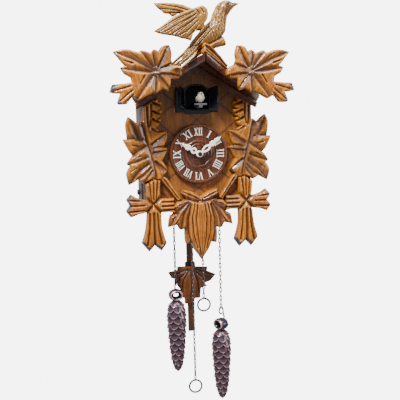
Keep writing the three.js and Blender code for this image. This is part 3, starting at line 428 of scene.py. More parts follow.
def triangulate(outline, step, holes=(), lines=()):
    loops = [resample(outline, step)] + [resample(h, step) for h in holes]
    pts, edges = [], []
    for loop in loops:
        base = len(pts)
        pts.extend(loop.tolist())
        edges.extend([(base + i, base + (i + 1) % len(loop)) for i in range(len(loop))])
    border = np.array(pts)
    lo, hi = border.min(0), border.max(0)
    grid = []
    row = 0
    z = lo[1] + step * 0.5
    while z < hi[1]:
        xs = np.arange(lo[0] + (step * 0.5 if row % 2 else step * 0.25), hi[0], step)
        grid.append(np.stack([xs, np.full(len(xs), z)], -1))
        z += step * 0.87
        row += 1
    grid = np.vstack(grid)
    grid = grid + rng.uniform(-0.12, 0.12, grid.shape) * step
    keep = inside(grid, loops[0])
    for h in loops[1:]:
        keep &= ~inside(grid, h)
    for loop in loops:
        keep &= line_dist(grid, loop, True)[0] > step * 0.45
    clean = []
    for line in lines:
        ln = resample(line, step * 0.9, closed=False)
        ok = inside(ln, loops[0])
        for loop in loops:
            ok &= line_dist(ln, loop, True)[0] > step * 0.5
        ln = ln[ok]
        if len(ln) > 1:
            clean.append(ln)
            keep &= line_dist(grid, ln)[0] > step * 0.5
    pts.extend(grid[keep].tolist())
    for ln in clean:
        base = len(pts)
        pts.extend(ln.tolist())
        edges.extend([(base + i, base + i + 1) for i in range(len(ln) - 1)
                      if np.linalg.norm(ln[i + 1] - ln[i]) < step * 1.5])
    coords, _, faces, _, _, _ = delaunay_2d_cdt([Vector(p) for p in pts], edges, [], 1, 1e-5)
    co = np.array([(c.x, c.y) for c in coords])
    tri = np.array([f for f in faces if len(f) == 3])
    mid = co[tri].mean(1)
    keep = inside(mid, loops[0])
    for h in loops[1:]:
        keep &= ~inside(mid, h)
    tri = tri[keep]
    used = np.unique(tri)
    new = np.full(len(co), -1)
    new[used] = np.arange(len(used))
    return co[used], [tuple(t) for t in new[tri]]


def groove_cut(pts, grooves):
    """Depth taken away by the cuts, how dark they are painted (stain and painted shade), and how light their edges
    are painted (wear and painted highlight).
    A groove is (line, width, depth, end taper, gentle). Its gentle side is that many times wider than the
    steep one, and a value below 0 puts it on the other side of the line."""
    cut = np.zeros(len(pts))
    cav = np.zeros(len(pts))
    rim = np.zeros(len(pts))
    for line, width, depth, taper, gentle in grooves:
        d, t, hand_side = line_dist(pts, line)
        wide = hand_side * np.sign(gentle) > 0
        w = width * (1 - taper * t) * np.where(wide, abs(gentle), 1.0) + 1e-6
        k = np.clip(1 - d / w, 0, 1)
        cut = np.maximum(cut, 1.15 * depth * (1 - taper * 0.8 * t) * k ** np.where(wide, 1.3, 1.1))
        # the gentle side and the bottom of each cut are painted darker: partly stain, partly painted shade
        stain_and_shade = np.where(wide & (abs(gentle) > 1.2), np.clip(k * 1.1, 0, 0.9) ** 1.1, np.clip(k * 1.2 - 0.2, 0, 1))
        core = np.clip(1 - d / (0.45 * width * (1 - taper * t) + 1e-6), 0, 1)
        cav = np.maximum(cav, np.maximum(stain_and_shade * (1 - 0.35 * t), core))
        # the edges of each cut are painted lighter: partly wear, partly painted highlight
        rim = np.maximum(rim, np.where(wide, 0.25, 1.0) * np.exp(-((d - w) / (0.3 * width)) ** 2) * (1 - 0.4 * t))
    return cut, cav, rim


def relief(name, outline, front, back, body, mat, replaces=(), grooves=(), edge=(1.6, 1.3), holes=(),
           step=0.8, shape=None, back_shape=None, rough=0.12, seed=1, ends=None, power=2.0):
    """A carved plate: outline in x and z, front and back depths in mm, V grooves and rounded edges."""
    grooves = [g if len(g) == 5 else (*g, 1) for g in grooves]
    lines = [g[0] for g in grooves]
    pts, faces = triangulate(outline, step, holes, lines)
    loops = [outline, *holes]
    d_edge = np.full(len(pts), 1e9)
    for loop in loops:
        d_edge = np.minimum(d_edge, line_dist(pts, loop, True)[0])
    cut, cav, rim = groove_cut(pts, grooves)
    w, drop = edge
    fall = drop * np.clip(1 - d_edge / w, 0, 1) ** power
    h = np.full(len(pts), float(front))
    if shape is not None:
        h = h + shape(pts, d_edge)
    h = h - fall - cut
    h = h + rough * soft_noise(pts, 1.1, seed) + rough * 0.5 * soft_noise(pts, 3.1, seed + 9)
    b = np.full(len(pts), float(back))
    if back_shape is not None:
        b = b + back_shape(pts, d_edge)
    h = np.maximum(h, b + 0.5)
    # the outline's edges are painted lighter, partly wear and partly painted highlight, except where the cuts are
    # dark
    rim = np.maximum(rim, np.exp(-((d_edge - 0.5) / 0.5) ** 2) * 0.8) * (cav < 0.3)
    n = len(pts)
    xyz = np.empty((2 * n, 3))
    for k, depth in ((0, h), (1, b)):
        xyz[k * n:(k + 1) * n, 0] = pts[:, 0] / 1000
        xyz[k * n:(k + 1) * n, 1] = (FRONT_Y - depth) / 1000
        xyz[k * n:(k + 1) * n, 2] = (pts[:, 1] + DIAL_Z) / 1000
    count = {}
    tris = []
    for f in faces:
        a = pts[list(f)]
        area = 0.5 * sum(a[i][0] * a[(i + 1) % len(f)][1] - a[(i + 1) % len(f)][0] * a[i][1] for i in range(len(f)))
        f = f if area > 0 else tuple(reversed(f))
        tris.append(f)
        for i in range(len(f)):
            count[(f[i], f[(i + 1) % len(f)])] = 1
    out = []
    for f in tris:
        out.append(tuple(f))
        out.append(tuple(n + i for i in reversed(f)))
    for (i, j) in count:
        if (j, i) not in count:
            out.append((j, i, n + i, n + j))
    attrs = {"cav": np.concatenate([cav, np.zeros(n)]), "rim": np.concatenate([rim, np.zeros(n)])}
    obj = make(name, xyz, out, mat, body, replaces, attrs, 62)
    if ends is not None:
        marks = ends(pts)
        for p in obj.data.polygons:
            if marks[[v % n for v in p.vertices]].mean() > 0.5:
                p.material_index = 1
    return obj


def lathe(name, profile, centre, axis, segs, mat, body, replaces=(), attrs=None, smooth=35):
    """profile is (radius, height) in mm from the centre along the axis 'y' (towards the front) or 'z'."""
    verts, faces = [], []
    n = len(profile)
    for r, hgt in profile:
        for k in range(segs):
            a = math.tau * k / segs
            if axis == "y":
                verts.append(at(centre[0] + r * math.cos(a), centre[1] + hgt, centre[2] + r * math.sin(a)))
            else:
                verts.append(at(centre[0] + r * math.cos(a), centre[1] - r * math.sin(a), centre[2] + hgt))
    for i in range(n - 1):
        for k in range(segs):
            k2 = (k + 1) % segs
            faces.append((i * segs + k, i * segs + k2, (i + 1) * segs + k2, (i + 1) * segs + k))
    faces.append(tuple(range(segs - 1, -1, -1)))
    faces.append(tuple((n - 1) * segs + k for k in range(segs)))
    return make(name, verts, faces, mat, body, replaces, attrs, smooth)


def outward(obj, close_bore=False):
    """Turns the faces outwards. close_bore swaps a lathe's two caps for the wall of its bore."""
    bm = bmesh.new()
    bm.from_mesh(obj.data)
    if close_bore:
        caps = [f for f in bm.faces if len(f.verts) > 8]
        bmesh.ops.delete(bm, geom=caps, context="FACES_ONLY")
        rims = [e for e in bm.edges if len(e.link_faces) == 1]
        bmesh.ops.bridge_loops(bm, edges=rims)
    bmesh.ops.recalc_face_normals(bm, faces=bm.faces)
    bm.to_mesh(obj.data)
    bm.free()


def softened(node, body, mat, width):
    """The CAD node's own solid with eased edges."""
    src = frame["nodes"][node]
    mesh = src.data.copy()
    mesh.materials.clear()
    mesh.materials.append(mat)
    obj = bpy.data.objects.new(node + "_finished", mesh)
    obj.matrix_world = src.matrix_world
    scene.collection.objects.link(obj)
    bm = bmesh.new()
    bm.from_mesh(mesh)
    bmesh.ops.remove_doubles(bm, verts=bm.verts, dist=2e-6)
    bmesh.ops.dissolve_limit(bm, angle_limit=math.radians(2), verts=bm.verts, edges=bm.edges)
    sharp = [e for e in bm.edges if len(e.link_faces) == 2 and e.calc_face_angle(0) > math.radians(30)]
    if width:
        bmesh.ops.bevel(bm, geom=sharp, offset=width, offset_type="OFFSET", segments=2, profile=0.5,
                        affect="EDGES", clamp_overlap=True)
    bm.to_mesh(mesh)
    bm.free()
    mesh.shade_smooth()
    mesh.set_sharp_from_angle(angle=math.radians(32))
    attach(obj, body)
    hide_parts(node)
    return obj


def spline(points, per=8):
    """Catmull-Rom through 3-D points."""
    p = [np.array(q, float) for q in points]
    p = [2 * p[0] - p[1], *p, 2 * p[-1] - p[-2]]
    out = []
    for i in range(1, len(p) - 2):
        for k in range(per):
            t = k / per
            a, b, c, d = p[i - 1], p[i], p[i + 1], p[i + 2]
            curve = (2 * a - 5 * b + 4 * c - d) * t * t + (3 * b - a - 3 * c + d) * t ** 3
            out.append(0.5 * ((2 * b) + (c - a) * t + curve))
    out.append(p[-2])
    return np.array(out)


def sweep(points, radius, sides=12, closed=False, taper=None):
    """Round tube through points in metres: verts and faces."""
    p = np.array(points, float)
    n = len(p)
    if closed:
        t = np.roll(p, -1, 0) - np.roll(p, 1, 0)
    else:
        t = np.gradient(p, axis=0)
    t /= np.linalg.norm(t, axis=1)[:, None]
    ref = np.array([0.0, 0.0, 1.0]) if abs(t[0][2]) < 0.9 else np.array([1.0, 0.0, 0.0])
    u = np.cross(t[0], ref)
    u /= np.linalg.norm(u)
    verts, faces = [], []
    for i in range(n):
        u = u - t[i] * np.dot(u, t[i])
        u /= np.linalg.norm(u)
        v = np.cross(t[i], u)
        r = radius * (taper[i] if taper is not None else 1)
        for k in range(sides):
            a = math.tau * k / sides
            verts.append(p[i] + r * (u * math.cos(a) + v * math.sin(a)))
    rings = n if closed else n - 1
    for i in range(rings):
        for k in range(sides):
            a, b = i * sides + k, i * sides + (k + 1) % sides
            c, d = ((i + 1) % n) * sides + (k + 1) % sides, ((i + 1) % n) * sides + k
            faces.append((a, b, c, d))
    if not closed:
        faces.append(tuple(range(sides - 1, -1, -1)))
        faces.append(tuple((n - 1) * sides + k for k in range(sides)))
    return verts, faces


# ---- chains ----------------------------------------------------------------------------------------------
PITCH, LINK_WIDTH, WIRE = 3.9, 2.7, 0.95
CHAIN_D = -13.0
ROLLER_Z = -38.5
ROLLER_EXIT_Z = ROLLER_Z - 4
CASE_MOUTH_Z = -44
STRAND_GAP = 0.3
WEIGHT_X, RING_X = 21.4, 5


def resample3(points, step):
    p = np.array(points, float)
    seg = np.linalg.norm(np.diff(p, axis=0), axis=1)
    s = np.concatenate([[0], np.cumsum(seg)])
    return np.stack([np.interp(np.arange(0, s[-1], step), s, p[:, k]) for k in range(3)], -1), s[-1]


def chain(name, points, node, turn):
    """Oval links along the strand's centreline (metres); they alternate by a quarter turn."""
    centres, length = resample3(points, PITCH / 1000)
    verts, faces = [], []
    half_len = (PITCH + 2 * WIRE) / 2 - WIRE / 2
    half_wid = LINK_WIDTH / 2 - WIRE / 2
    for i, c in enumerate(centres):
        ahead = centres[min(i + 1, len(centres) - 1)] - centres[max(i - 1, 0)]
        t = ahead / np.linalg.norm(ahead)
        side = np.cross(t, [0, 1, 0])
        side /= np.linalg.norm(side)
        front = np.cross(side, t)
        a = math.radians(turn + 90 * (i % 2) + rng.uniform(-9, 9))
        across = side * math.cos(a) + front * math.sin(a)
        loop = []
        for k in range(20):
            q = math.tau * k / 20
            along = math.sin(q)
            ax = half_len * math.copysign(abs(along) ** 0.85, along)
            ac = half_wid * math.copysign(abs(math.cos(q)) ** 0.75, math.cos(q))
            loop.append(c + (t * ax + across * ac) / 1000)
        v, f = sweep(loop, WIRE / 2000, 7, closed=True)
        base = len(verts)
        verts.extend(v)
        faces.extend([tuple(base + j for j in q) for q in f])
    obj = make(name, verts, faces, mat_chain, "case", (node,), smooth=60)
    return obj


# side, lowest point of the weight strand, lowest point of the ring strand
STRANDS = {"left": (-1, -113.0, -212.4), "right": (1, -144.2, -134.6)}
for label, (side, weight_end, ring_end) in STRANDS.items():
    wx, rx = WEIGHT_X * side, RING_X * side
    mid, rad = (wx + rx) / 2, abs(wx - rx) / 2
    loop = [at(wx, CHAIN_D, weight_end), at(wx, CHAIN_D, CASE_MOUTH_Z)]
    for a in range(0, 181, 15):
        loop.append(at(mid + side * rad * math.cos(math.radians(a)), CHAIN_D,
                       ROLLER_Z + rad * math.sin(math.radians(a))))
    loop.append(at(rx, CHAIN_D, ROLLER_EXIT_Z))
    chain(f"chain_weight_{label}_links", loop, f"chain_weight_{label}", 20 * side)
    straight = [at(rx, CHAIN_D, ROLLER_EXIT_Z - STRAND_GAP), at(rx, CHAIN_D, ring_end)]
    chain(f"chain_ring_{label}_links", straight, f"chain_ring_{label}",
          65 * side)

# ---- hooks, pull rings and pinecones ---------------------------------------------------------------------
CHAIN_Y = -31.0
HOOK_WIRE, RING_WIRE = 0.00072, 0.00088
RING_RADIUS = 0.0059
RING_DROP = 0.3 + 5.9 + 0.65
TURN = {"left": 0.0, "right": math.radians(-62)}
HOOK = [(0, 1, -6.9), (0, -1, -7.1), (0, -2.3, -5.6), (0, -2.4, -3.6), (0, -1.6, -1.6), (0, 0, -0.9),
        (0, 1.6, -1.6), (0, 2.4, -3.6), (0, 2.5, -6), (0, 3.1, -9), (0, 3.6, -11.4), (0, 2.8, -13.7),
        (0, -0.6, -15.1), (0, -4, -13.7), (0, -4.8, -11.2)]
CONE = [(0.0, -78.5), (1.6, -78.1), (2.9, -76.8), (4.6, -72.4), (5.8, -66), (6.7, -57.8), (7.7, -42.6),
        (8.3, -34.2), (8.5, -27.9), (8.2, -21.5), (7.1, -15.6), (5.4, -12.6), (4.0, -10.8), (3.7, -9.2)]
CONE_SHIFT_Y, CONE_LIFT, BEAD_Z = -0.6, -11.4, -16.9
SCALE_PITCH, SCALE_LENGTH, SCALES_AROUND, SCALE_ROWS = 5.1, 8.4, 6, 14
SCALE_HALF = math.pi / SCALES_AROUND * 1.12
for label, (side, weight_end, ring_end) in STRANDS.items():
    c, s = math.cos(TURN[label]), math.sin(TURN[label])
    wx, rx = WEIGHT_X * side, RING_X * side

    def hang(p):
        return ((wx + p[0] * c - p[1] * s) / 1000, (CHAIN_Y + p[0] * s + p[1] * c) / 1000,
                (weight_end + p[2] + DIAL_Z) / 1000)

    wire = spline(HOOK, 6)
    taper = np.ones(len(wire))
    taper[-3:] = (0.95, 0.85, 0.6)
    v, f = sweep([hang(p) for p in wire], HOOK_WIRE, 12, taper=taper)
    make(f"weight_hook_{label}_wire", v, f, mat_wire, f"{label}_weight",
         (f"weight_hook_{label}",), smooth=60)
    ring_z = ring_end - RING_DROP
    loop = [(rx / 1000 + RING_RADIUS * math.cos(a), CHAIN_Y / 1000,
             (ring_z + DIAL_Z) / 1000 + RING_RADIUS * math.sin(a))
            for a in np.linspace(0, math.tau, 72, endpoint=False)]
    v, f = sweep(loop, RING_WIRE, 12, closed=True)
    make(f"pull_ring_{label}_wire", v, f, mat_wire, f"{label}_ring", (f"pull_ring_{label}",),
         smooth=60)

    # body with overlapping pointed scales
    rows, cols = 240, 112
    zs = np.linspace(-9.2, -78.4, rows)
    prof_r = np.interp(-zs, [-q[1] for q in reversed(CONE)], [q[0] for q in reversed(CONE)])
    th = np.linspace(0, math.tau, cols, endpoint=False)
    T, Z = np.meshgrid(th, zs)
    R = np.repeat(prof_r[:, None], cols, 1)
    lift = np.zeros_like(R)
    tip = np.zeros_like(R)
    root_shade = np.ones_like(R)
    for k in range(SCALE_ROWS):
        top = -7.6 - SCALE_PITCH * k
        t = np.clip((top - Z) / SCALE_LENGTH, 0, 1)
        live = ((top - Z) > 0) & ((top - Z) < SCALE_LENGTH)
        half = SCALE_HALF * np.sqrt(np.clip(4 * t * (1 - t), 0, 1)) * (1.12 - 0.3 * t)
        for j in range(SCALES_AROUND):
            centre = math.tau * (j + 0.5 * (k % 2)) / SCALES_AROUND
            du = np.abs((T - centre + math.pi) % math.tau - math.pi)
            q = du / np.maximum(half, 1e-4)
            on = live & (q < 1)
            h = 0.1 + 1.75 * t ** 1.2 * (1 - 0.45 * q ** 2)
            better = on & (h > lift)
            lift = np.where(better, h, lift)
            # edge marks the scale edges for the copper paint and the painted highlight
            oval = np.sqrt(np.clip((2 * t - 1) ** 2 + (du / SCALE_HALF) ** 2, 0, 2))
            edge = (0.35 + 0.65 * np.clip((oval - 0.6) / 0.3, 0, 1)) * np.clip((t - 0.35) / 0.35, 0, 1)
            tip = np.where(better, edge, tip)
            # painted shade at the root of each scale, under the row above
            root_shade = np.where(better, np.clip(1.15 - 3.0 * t, 0, 1), root_shade)
    fade = np.clip((-9.6 - zs) / 3, 0.05, 1) * np.clip((zs + 78.4) / 3, 0.05, 1)
    scale_small = np.clip(prof_r / 7.5, 0.25, 1)
    R2 = np.maximum(R - 0.75 + lift * (1.15 * scale_small * fade)[:, None], 0.15)
    vx = R2 * np.cos(T)
    vy = R2 * np.sin(T) + CONE_SHIFT_Y
    verts = [hang((x, y, CONE_LIFT + z)) for x, y, z in zip(vx.ravel(), vy.ravel(), Z.ravel())]
    faces = []
    for i in range(rows - 1):
        for j in range(cols):
            j2 = (j + 1) % cols
            faces.append((i * cols + j, (i + 1) * cols + j, (i + 1) * cols + j2, i * cols + j2))
    faces.append(tuple(range(cols)))
    faces.append(tuple((rows - 1) * cols + j for j in reversed(range(cols))))
    base = len(verts)
    # bead: a fat ring with a flared eye
    ring_prof = [(2.3, 0), (2.5, -1.4), (3.2, -3.1), (4.1, -4.2), (5.1, -4.7), (6.0, -4.2), (6.7, -2.6), (7.0, 0),
                 (6.7, 2.6), (6.0, 4.2), (5.1, 4.7), (4.1, 4.2), (3.2, 3.1), (2.5, 1.4)]
    bead_eye_shade, bead_tip = [], []
    na, nb = 56, len(ring_prof)
    for i in range(na):
        a = math.tau * i / na
        for r, y in ring_prof:
            verts.append(hang((r * math.cos(a) * 0.985, y + CONE_SHIFT_Y, BEAD_Z + r * math.sin(a) * 0.79)))
            # painted shade in the eye of the bead; its crown gets the copper and painted highlight of the scale
            # edges
            bead_eye_shade.append(1.0 if r < 3.5 else (0.5 if r < 4.5 else 0.0))
            bead_tip.append(0.85 if 4.9 < r < 6.3 else 0.1)
    for i in range(na):
        for k in range(nb):
            a, b = base + i * nb + k, base + i * nb + (k + 1) % nb
            d, e = base + ((i + 1) % na) * nb + k, base + ((i + 1) % na) * nb + (k + 1) % nb
            faces.append((a, d, e, b))
    attrs = {"tip": np.concatenate([tip.ravel(), bead_tip]), "cav": np.concatenate([root_shade.ravel() * 0.95, bead_eye_shade])}
    cone = make(f"pinecone_{label}_carved", verts, faces, mat_cone, f"{label}_weight",
                (f"pinecone_{label}",), attrs, 50)
    outward(cone)

# ---- case ------------------------------------------------------------------------------------------------
ROOF_SLOPE = math.tan(math.radians(30.5))
UNDER = 77.24
CASE_HALF, CASE_BOTTOM, ROOF_GAP = 49, -50.5, 0.4
ARCH_HALF, SHOULDER_DROP = 11.3, 1.6


def opening(half, bottom, top, arch):
    pts = [(-half, bottom), (half, bottom), (half, top), (ARCH_HALF, top - SHOULDER_DROP)]
    for t in (0.2, 0.4, 0.6, 0.8, 1.0):
        x = ARCH_HALF * (1 - t) ** 2 + 2 * 6.2 * t * (1 - t)
        z = (top - SHOULDER_DROP) * (1 - t) ** 2 + 2 * arch * t * (1 - t) + arch * t * t
        pts.append((x, z))
    return pts + [(-x, z) for x, z in reversed(pts[2:-1])]


def circle(r, n=24, x=0, z=0):
    return [(x + r * math.cos(math.tau * k / n), z + r * math.sin(math.tau * k / n)) for k in range(n)]


shoulder = UNDER - ROOF_SLOPE * CASE_HALF - ROOF_GAP
panel = [(-CASE_HALF, CASE_BOTTOM), (CASE_HALF, CASE_BOTTOM), (CASE_HALF, shoulder), (0, UNDER - ROOF_GAP),
         (-CASE_HALF, shoulder)]
LATTICE_PITCH = 38.0
strokes = []
for lean in (-1, 1):
    for k in range(-3, 4):
        x0 = LATTICE_PITCH * k
        line = [(x0 - 75 * lean, -60), (x0 + 75 * lean, 60)]
        strokes.append((line, 0.42, 0.14, 0.0, 1))
relief("front_panel_finished", panel, 0, -4, "case", mat_panel, ("front_panel",), strokes, (0.7, 0.5),
       (opening(18.9, 37.1, 58.9, 61.3), circle(3)), step=1.5, rough=0.07)
for node, mat, slot_name, w in (("side_panel_left", mat_side_sheen, "case_wood", 0.0005),
                                ("side_panel_right", mat_side_sheen, "case_wood", 0.0005),
                                ("floor_panel", mat_side_sheen, "case_wood", 0.0003),
                                ("back_panel", mat_ply, "back_board", 0.0003),
                                ("hanger_plate", mat_steel, "steel", 0.00015),
                                ("roof_board_left", mat_roof, "roof_wood", 0.0009),
                                ("roof_board_right", mat_roof, "roof_wood", 0.0009),
                                ("gable_moulding", mat_mould, "roof_wood", 0.0004),
                                ("movement_case", mat_movement, "movement_plastic", 0.0005),
                                ("battery_cover", mat_movement, "movement_plastic", 0.0003),
                                ("battery", mat_cell, "battery_jacket", 0.0004),
                                ("speaker", mat_movement, "movement_plastic", 0.0006),
                                ("volume_control", mat_movement, "movement_plastic", 0.0005),
                                ("volume_knob", mat_movement, "movement_plastic", 0.0002),
                                ("chain_bracket", mat_movement, "movement_plastic", 0.0004),
                                ("set_knob", mat_movement, "movement_plastic", 0.0004),
                                ("hour_tube", mat_steel, "steel", 0), ("minute_arbor", mat_steel, "steel", 0.0001),
                                ("hand_nut", mat_wire, "steel", 0.0003),
                                ("cuckoo_stage", mat_black, "stage_plastic", 0.0003),
                                ("shutter_left", mat_black, "stage_plastic", 0.00018),
                                ("shutter_right", mat_black, "stage_plastic", 0.00018),
                                ("bird_slide", mat_grey, "perch_plastic", 0.0003),
                                ("pendulum_hanger", mat_steel, "steel", 0.0001),
                                ("pendulum_rod", mat_stick, "stick_wood", 0.0004),
                                ("pendulum_clip", mat_black, "stage_plastic", 0.0003)):
    body = frame["nodes"][node]["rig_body"]
    softened(node, body, mat, w)

# ---- carvings --------------------------------------------------------------------------------------------
SIDES = (("left", -1), ("right", 1))


def cuts(lines, side, width=2.2, depth=1.7, taper=0.55, gentle=2.3):
    out = []
    for item in lines:
        pts, *rest = item
        w, d, t = (list(rest) + [width, depth, taper][len(rest):])
        out.append(([(x * side, z) for x, z in pts], w, d, t, gentle * side if w > 1.95 else side))
    return out


def crown(height, reach):
    return lambda pts, d: height * (1 - np.exp(-d / reach))


ROOF_LEAF = [(26.4, 75.4), (27.8, 79.4), (27, 83.5), (29.1, 91.2, 0.6), (32.5, 90.9), (35.5, 89.7), (38, 85.8, 0.4),
             (41.8, 87.7, 0.6), (44.8, 84.5, 0.4), (52.4, 87, 0.8), (54.2, 85, 0.1), (60.8, 87), (67.4, 87.5, 0.5),
             (75.1, 85.7, 0.3), (71.5, 81.3, 0.3), (65.6, 74.3, 0.6), (69.8, 72.9, 0.2), (66.4, 67.6, 0.3),
             (61.4, 64.9, -0.3), (60.8, 60.8), (68, 60.1), (76.9, 59.4), (79, 53.2, 0.5), (74.6, 52.2),
             (70.4, 52.2), (73.4, 44.6), (72, 43.2), (65.5, 43.5, 0.3), (61.4, 48.7), (59.6, 49), (55.3, 46.5, 0.2),
             (49.5, 49.6, 0.3), (43.5, 52.2, 0.3), (41.4, 51.2), (38.5, 53.6, 0.3), (35.2, 55.7, 0.2),
             (30.6, 53.6, 0.3), (29, 58, 0.3), (28.4, 63.4, 0.2), (22, 63.6, 0.3), (18.9, 66.4), (19.2, 70.4, 0.2),
             (22.5, 73.6, 0.2)]
ROOF_CUTS = [
    ([(42, 70), (57, 78.6), (73, 85)], 3.0, 2.4, 0.5), ([(43, 73), (48, 80), (52.3, 86)], 2.6, 2.2, 0.4),
    ([(41, 74), (42.4, 81), (42.8, 87.1)], 2.4, 2.2, 0.4), ([(38.6, 73), (34, 82), (30.1, 91.4)], 2.8, 2.4, 0.5),
    ([(44, 69), (56, 70.4), (69.2, 72.2)], 2.8, 2.2, 0.5), ([(43, 65.8), (50, 57), (56.3, 48)], 2.8, 2.2, 0.5),
    ([(40.8, 65), (41, 58), (41.4, 51.4)], 2.6, 2.2, 0.5), ([(38, 66), (33.4, 60.4), (29.2, 54.8)], 2.6, 2.2, 0.5),
    ([(36.4, 67.6), (27.6, 67), (18.4, 65.2)], 2.6, 2.0, 0.5), ([(37, 72), (31, 74), (26.4, 75.8)], 2.6, 2.2, 0.3),
    ([(50, 66.4), (54.1, 59.5)], 1.5, 1.4, 0.4), ([(47.4, 61.6), (51.7, 54.4)], 1.5, 1.4, 0.4),
    ([(54, 79.6), (61, 84.6)], 1.6, 1.4, 0.5), ([(60, 76.4), (67, 78.6)], 1.6, 1.4, 0.5),
    ([(62, 62.8), (77.6, 57.4)], 1.3, 1.0, 0.1), ([(62, 58), (75, 54.2)], 1.3, 1.0, 0.1),
    ([(60.6, 54.6), (71, 46)], 1.3, 1.0, 0.1), ([(60, 51), (67, 44.6)], 1.2, 0.9, 0.1)]
VINE = [(35.2, 49.9), (48.6, 42.6), (48.6, 30.2), (50.4, 30.2), (54, 27.4, 0.3), (61.7, 34, 0.8), (64.2, 27.6, 0.4),
        (64, 22, 0.2), (63.4, 14.4, -0.3), (66.9, 14.8), (63.6, 7.6, 0.5), (58.9, 0.2, 0.5), (64.4, -7.3, 0.4),
        (61.4, -8.9), (65, -15.5, 0.6), (63, -25.3, 0.5), (55, -20.7, 0.4), (49.6, -24, 0.2), (42.6, -20.6, -0.5),
        (34.8, -21.4), (30, -28, 0.2), (20.4, -41, -0.6), (17.4, -38.9), (22.9, -31, 0.5), (29.6, -20.4, 0.4),
        (33.4, -18.4), (28, -14.7), (33, -5, 0.6), (27, 4.5, -0.6), (31.4, 7.2, 0.2), (26.7, 19.8, 0.7),
        (35.8, 21.6, 0.5), (38.6, 23.6, 0.5), (34.2, 27.6, 0.9), (33.4, 31.2, 0.5), (37.2, 31.4, 0.5),
        (33, 34.8, 0.9), (32.2, 38.6, 0.5), (36.2, 38.8, 0.5), (32.6, 42.4, 0.9), (32.2, 45.6, 0.4), (35.2, 46.2)]
VINE_CUTS = [([(50, 27), (46.8, 13), (43, 0.6), (40.5, -10), (38.8, -19)], 2.6, 2.2, 0.2),
             ([(54.6, 15), (57.4, 24), (61, 32.6)], 3.4, 2.6, 0.4),
             ([(50.5, 14), (58, 15.2), (66, 14.8)], 2.6, 2.0, 0.3),
             ([(47, 8), (54, 4), (58.6, 0.4)], 2.6, 2.2, 0.1), ([(46.4, -2), (55, -5), (63.8, -7.6)], 2.2, 1.9,
        0.4), ([(45.4, -8), (54, -14), (62.4, -24.4)], 3.0, 2.4, 0.3),
             ([(43.4, -11), (49.2, -17), (54.8, -20.4)], 2.0, 1.8, 0.1),
             ([(42, -14), (46, -19), (49, -23)], 2.0, 1.6, 0.3), ([(42, 9), (34, 15), (27.4, 19.4)], 3.0, 2.4, 0.3),
             ([(40.6, 2), (35, 2.6), (27.6, 4.4)], 2.8, 2.2, 0.3),
             ([(40.4, 6), (36, 7.2), (31.8, 7.2)], 2.0, 1.8, 0.1),
             ([(39.6, -6), (34, -10), (28.6, -14.4)], 2.6, 2.2, 0.3), ([(55.6, -10.4), (60.6, -14)], 1.4, 1.2, 0.4),
             ([(52, -0.4), (57, -2.8)], 1.4, 1.2, 0.4), ([(53.6, 8), (59.4, 9.4)], 1.5, 1.3, 0.4),
             ([(45.6, 42.4), (45.4, 30), (44.8, 25)], 1.7, 1.5, 0.1),
             ([(42, 44.4), (42, 34), (43.4, 26)], 1.7, 1.5, 0.1), ([(40, 45.4), (33.4, 42.6)], 1.9, 2.6, 0.1),
             ([(40.6, 38.2), (33.6, 35.2)], 1.9, 2.6, 0.1), ([(41, 31.4), (34.6, 28.2)], 1.9, 2.6, 0.1),
             ([(41.6, 23), (36, 20.4), (29, 21)], 1.8, 1.6, 0.3),
             ([(33.4, -20), (26.4, -29.6), (20, -38.6)], 1.8, 1.6, 0.2)]
CROSS = [(48.8, -25.4), (47.6, -38.8, -0.5), (52, -38.4), (57, -36.6), (61.6, -33.6), (65.9, -38.3), (63, -43.5),
         (66.4, -48.4), (62.4, -53.7), (55, -51), (48, -50.1), (49.7, -65.3, -0.5), (53.4, -77.4, -0.5),
         (46.9, -85.3), (41.9, -79.8), (35.9, -85.2), (31, -78.4), (35.1, -64, -0.5), (35.3, -50.6, -0.5),
         (28, -50.2), (23, -51.6), (23.8, -38), (29, -38.4), (35.6, -37.9), (35.4, -22.1, -0.5), (41.4, -20.9)]
CROSS_CUTS = [([(36.6, -37), (49.2, -50.6)], 2.6, 2.4, 0.0), ([(47, -38), (36.4, -49.8)], 2.6, 2.4, 0.0),
              *[([(x, -22.4), (x * 0.6 + 16.9, -39)], 1.5, 1.6, 0.2) for x in (38.3, 41.9, 45.5)],
              *[([(63.6, z), (50, z * 0.82 - 7.9)], 1.5, 1.6, 0.2) for z in (-38.6, -43.5, -48.8)],
              *[([(24, z), (35, z)], 1.5, 1.6, 0.1) for z in (-41.2, -44.9, -48.4)],
              ([(38.8, -51), (38.4, -64), (36.0, -78.6)], 1.6, 1.7, 0.0),
              ([(42.2, -51), (42.2, -66), (42, -79)], 1.9, 1.9, 0.0),
              ([(45.8, -51), (46.2, -64), (48.6, -78.6)], 1.6, 1.7, 0.0)]
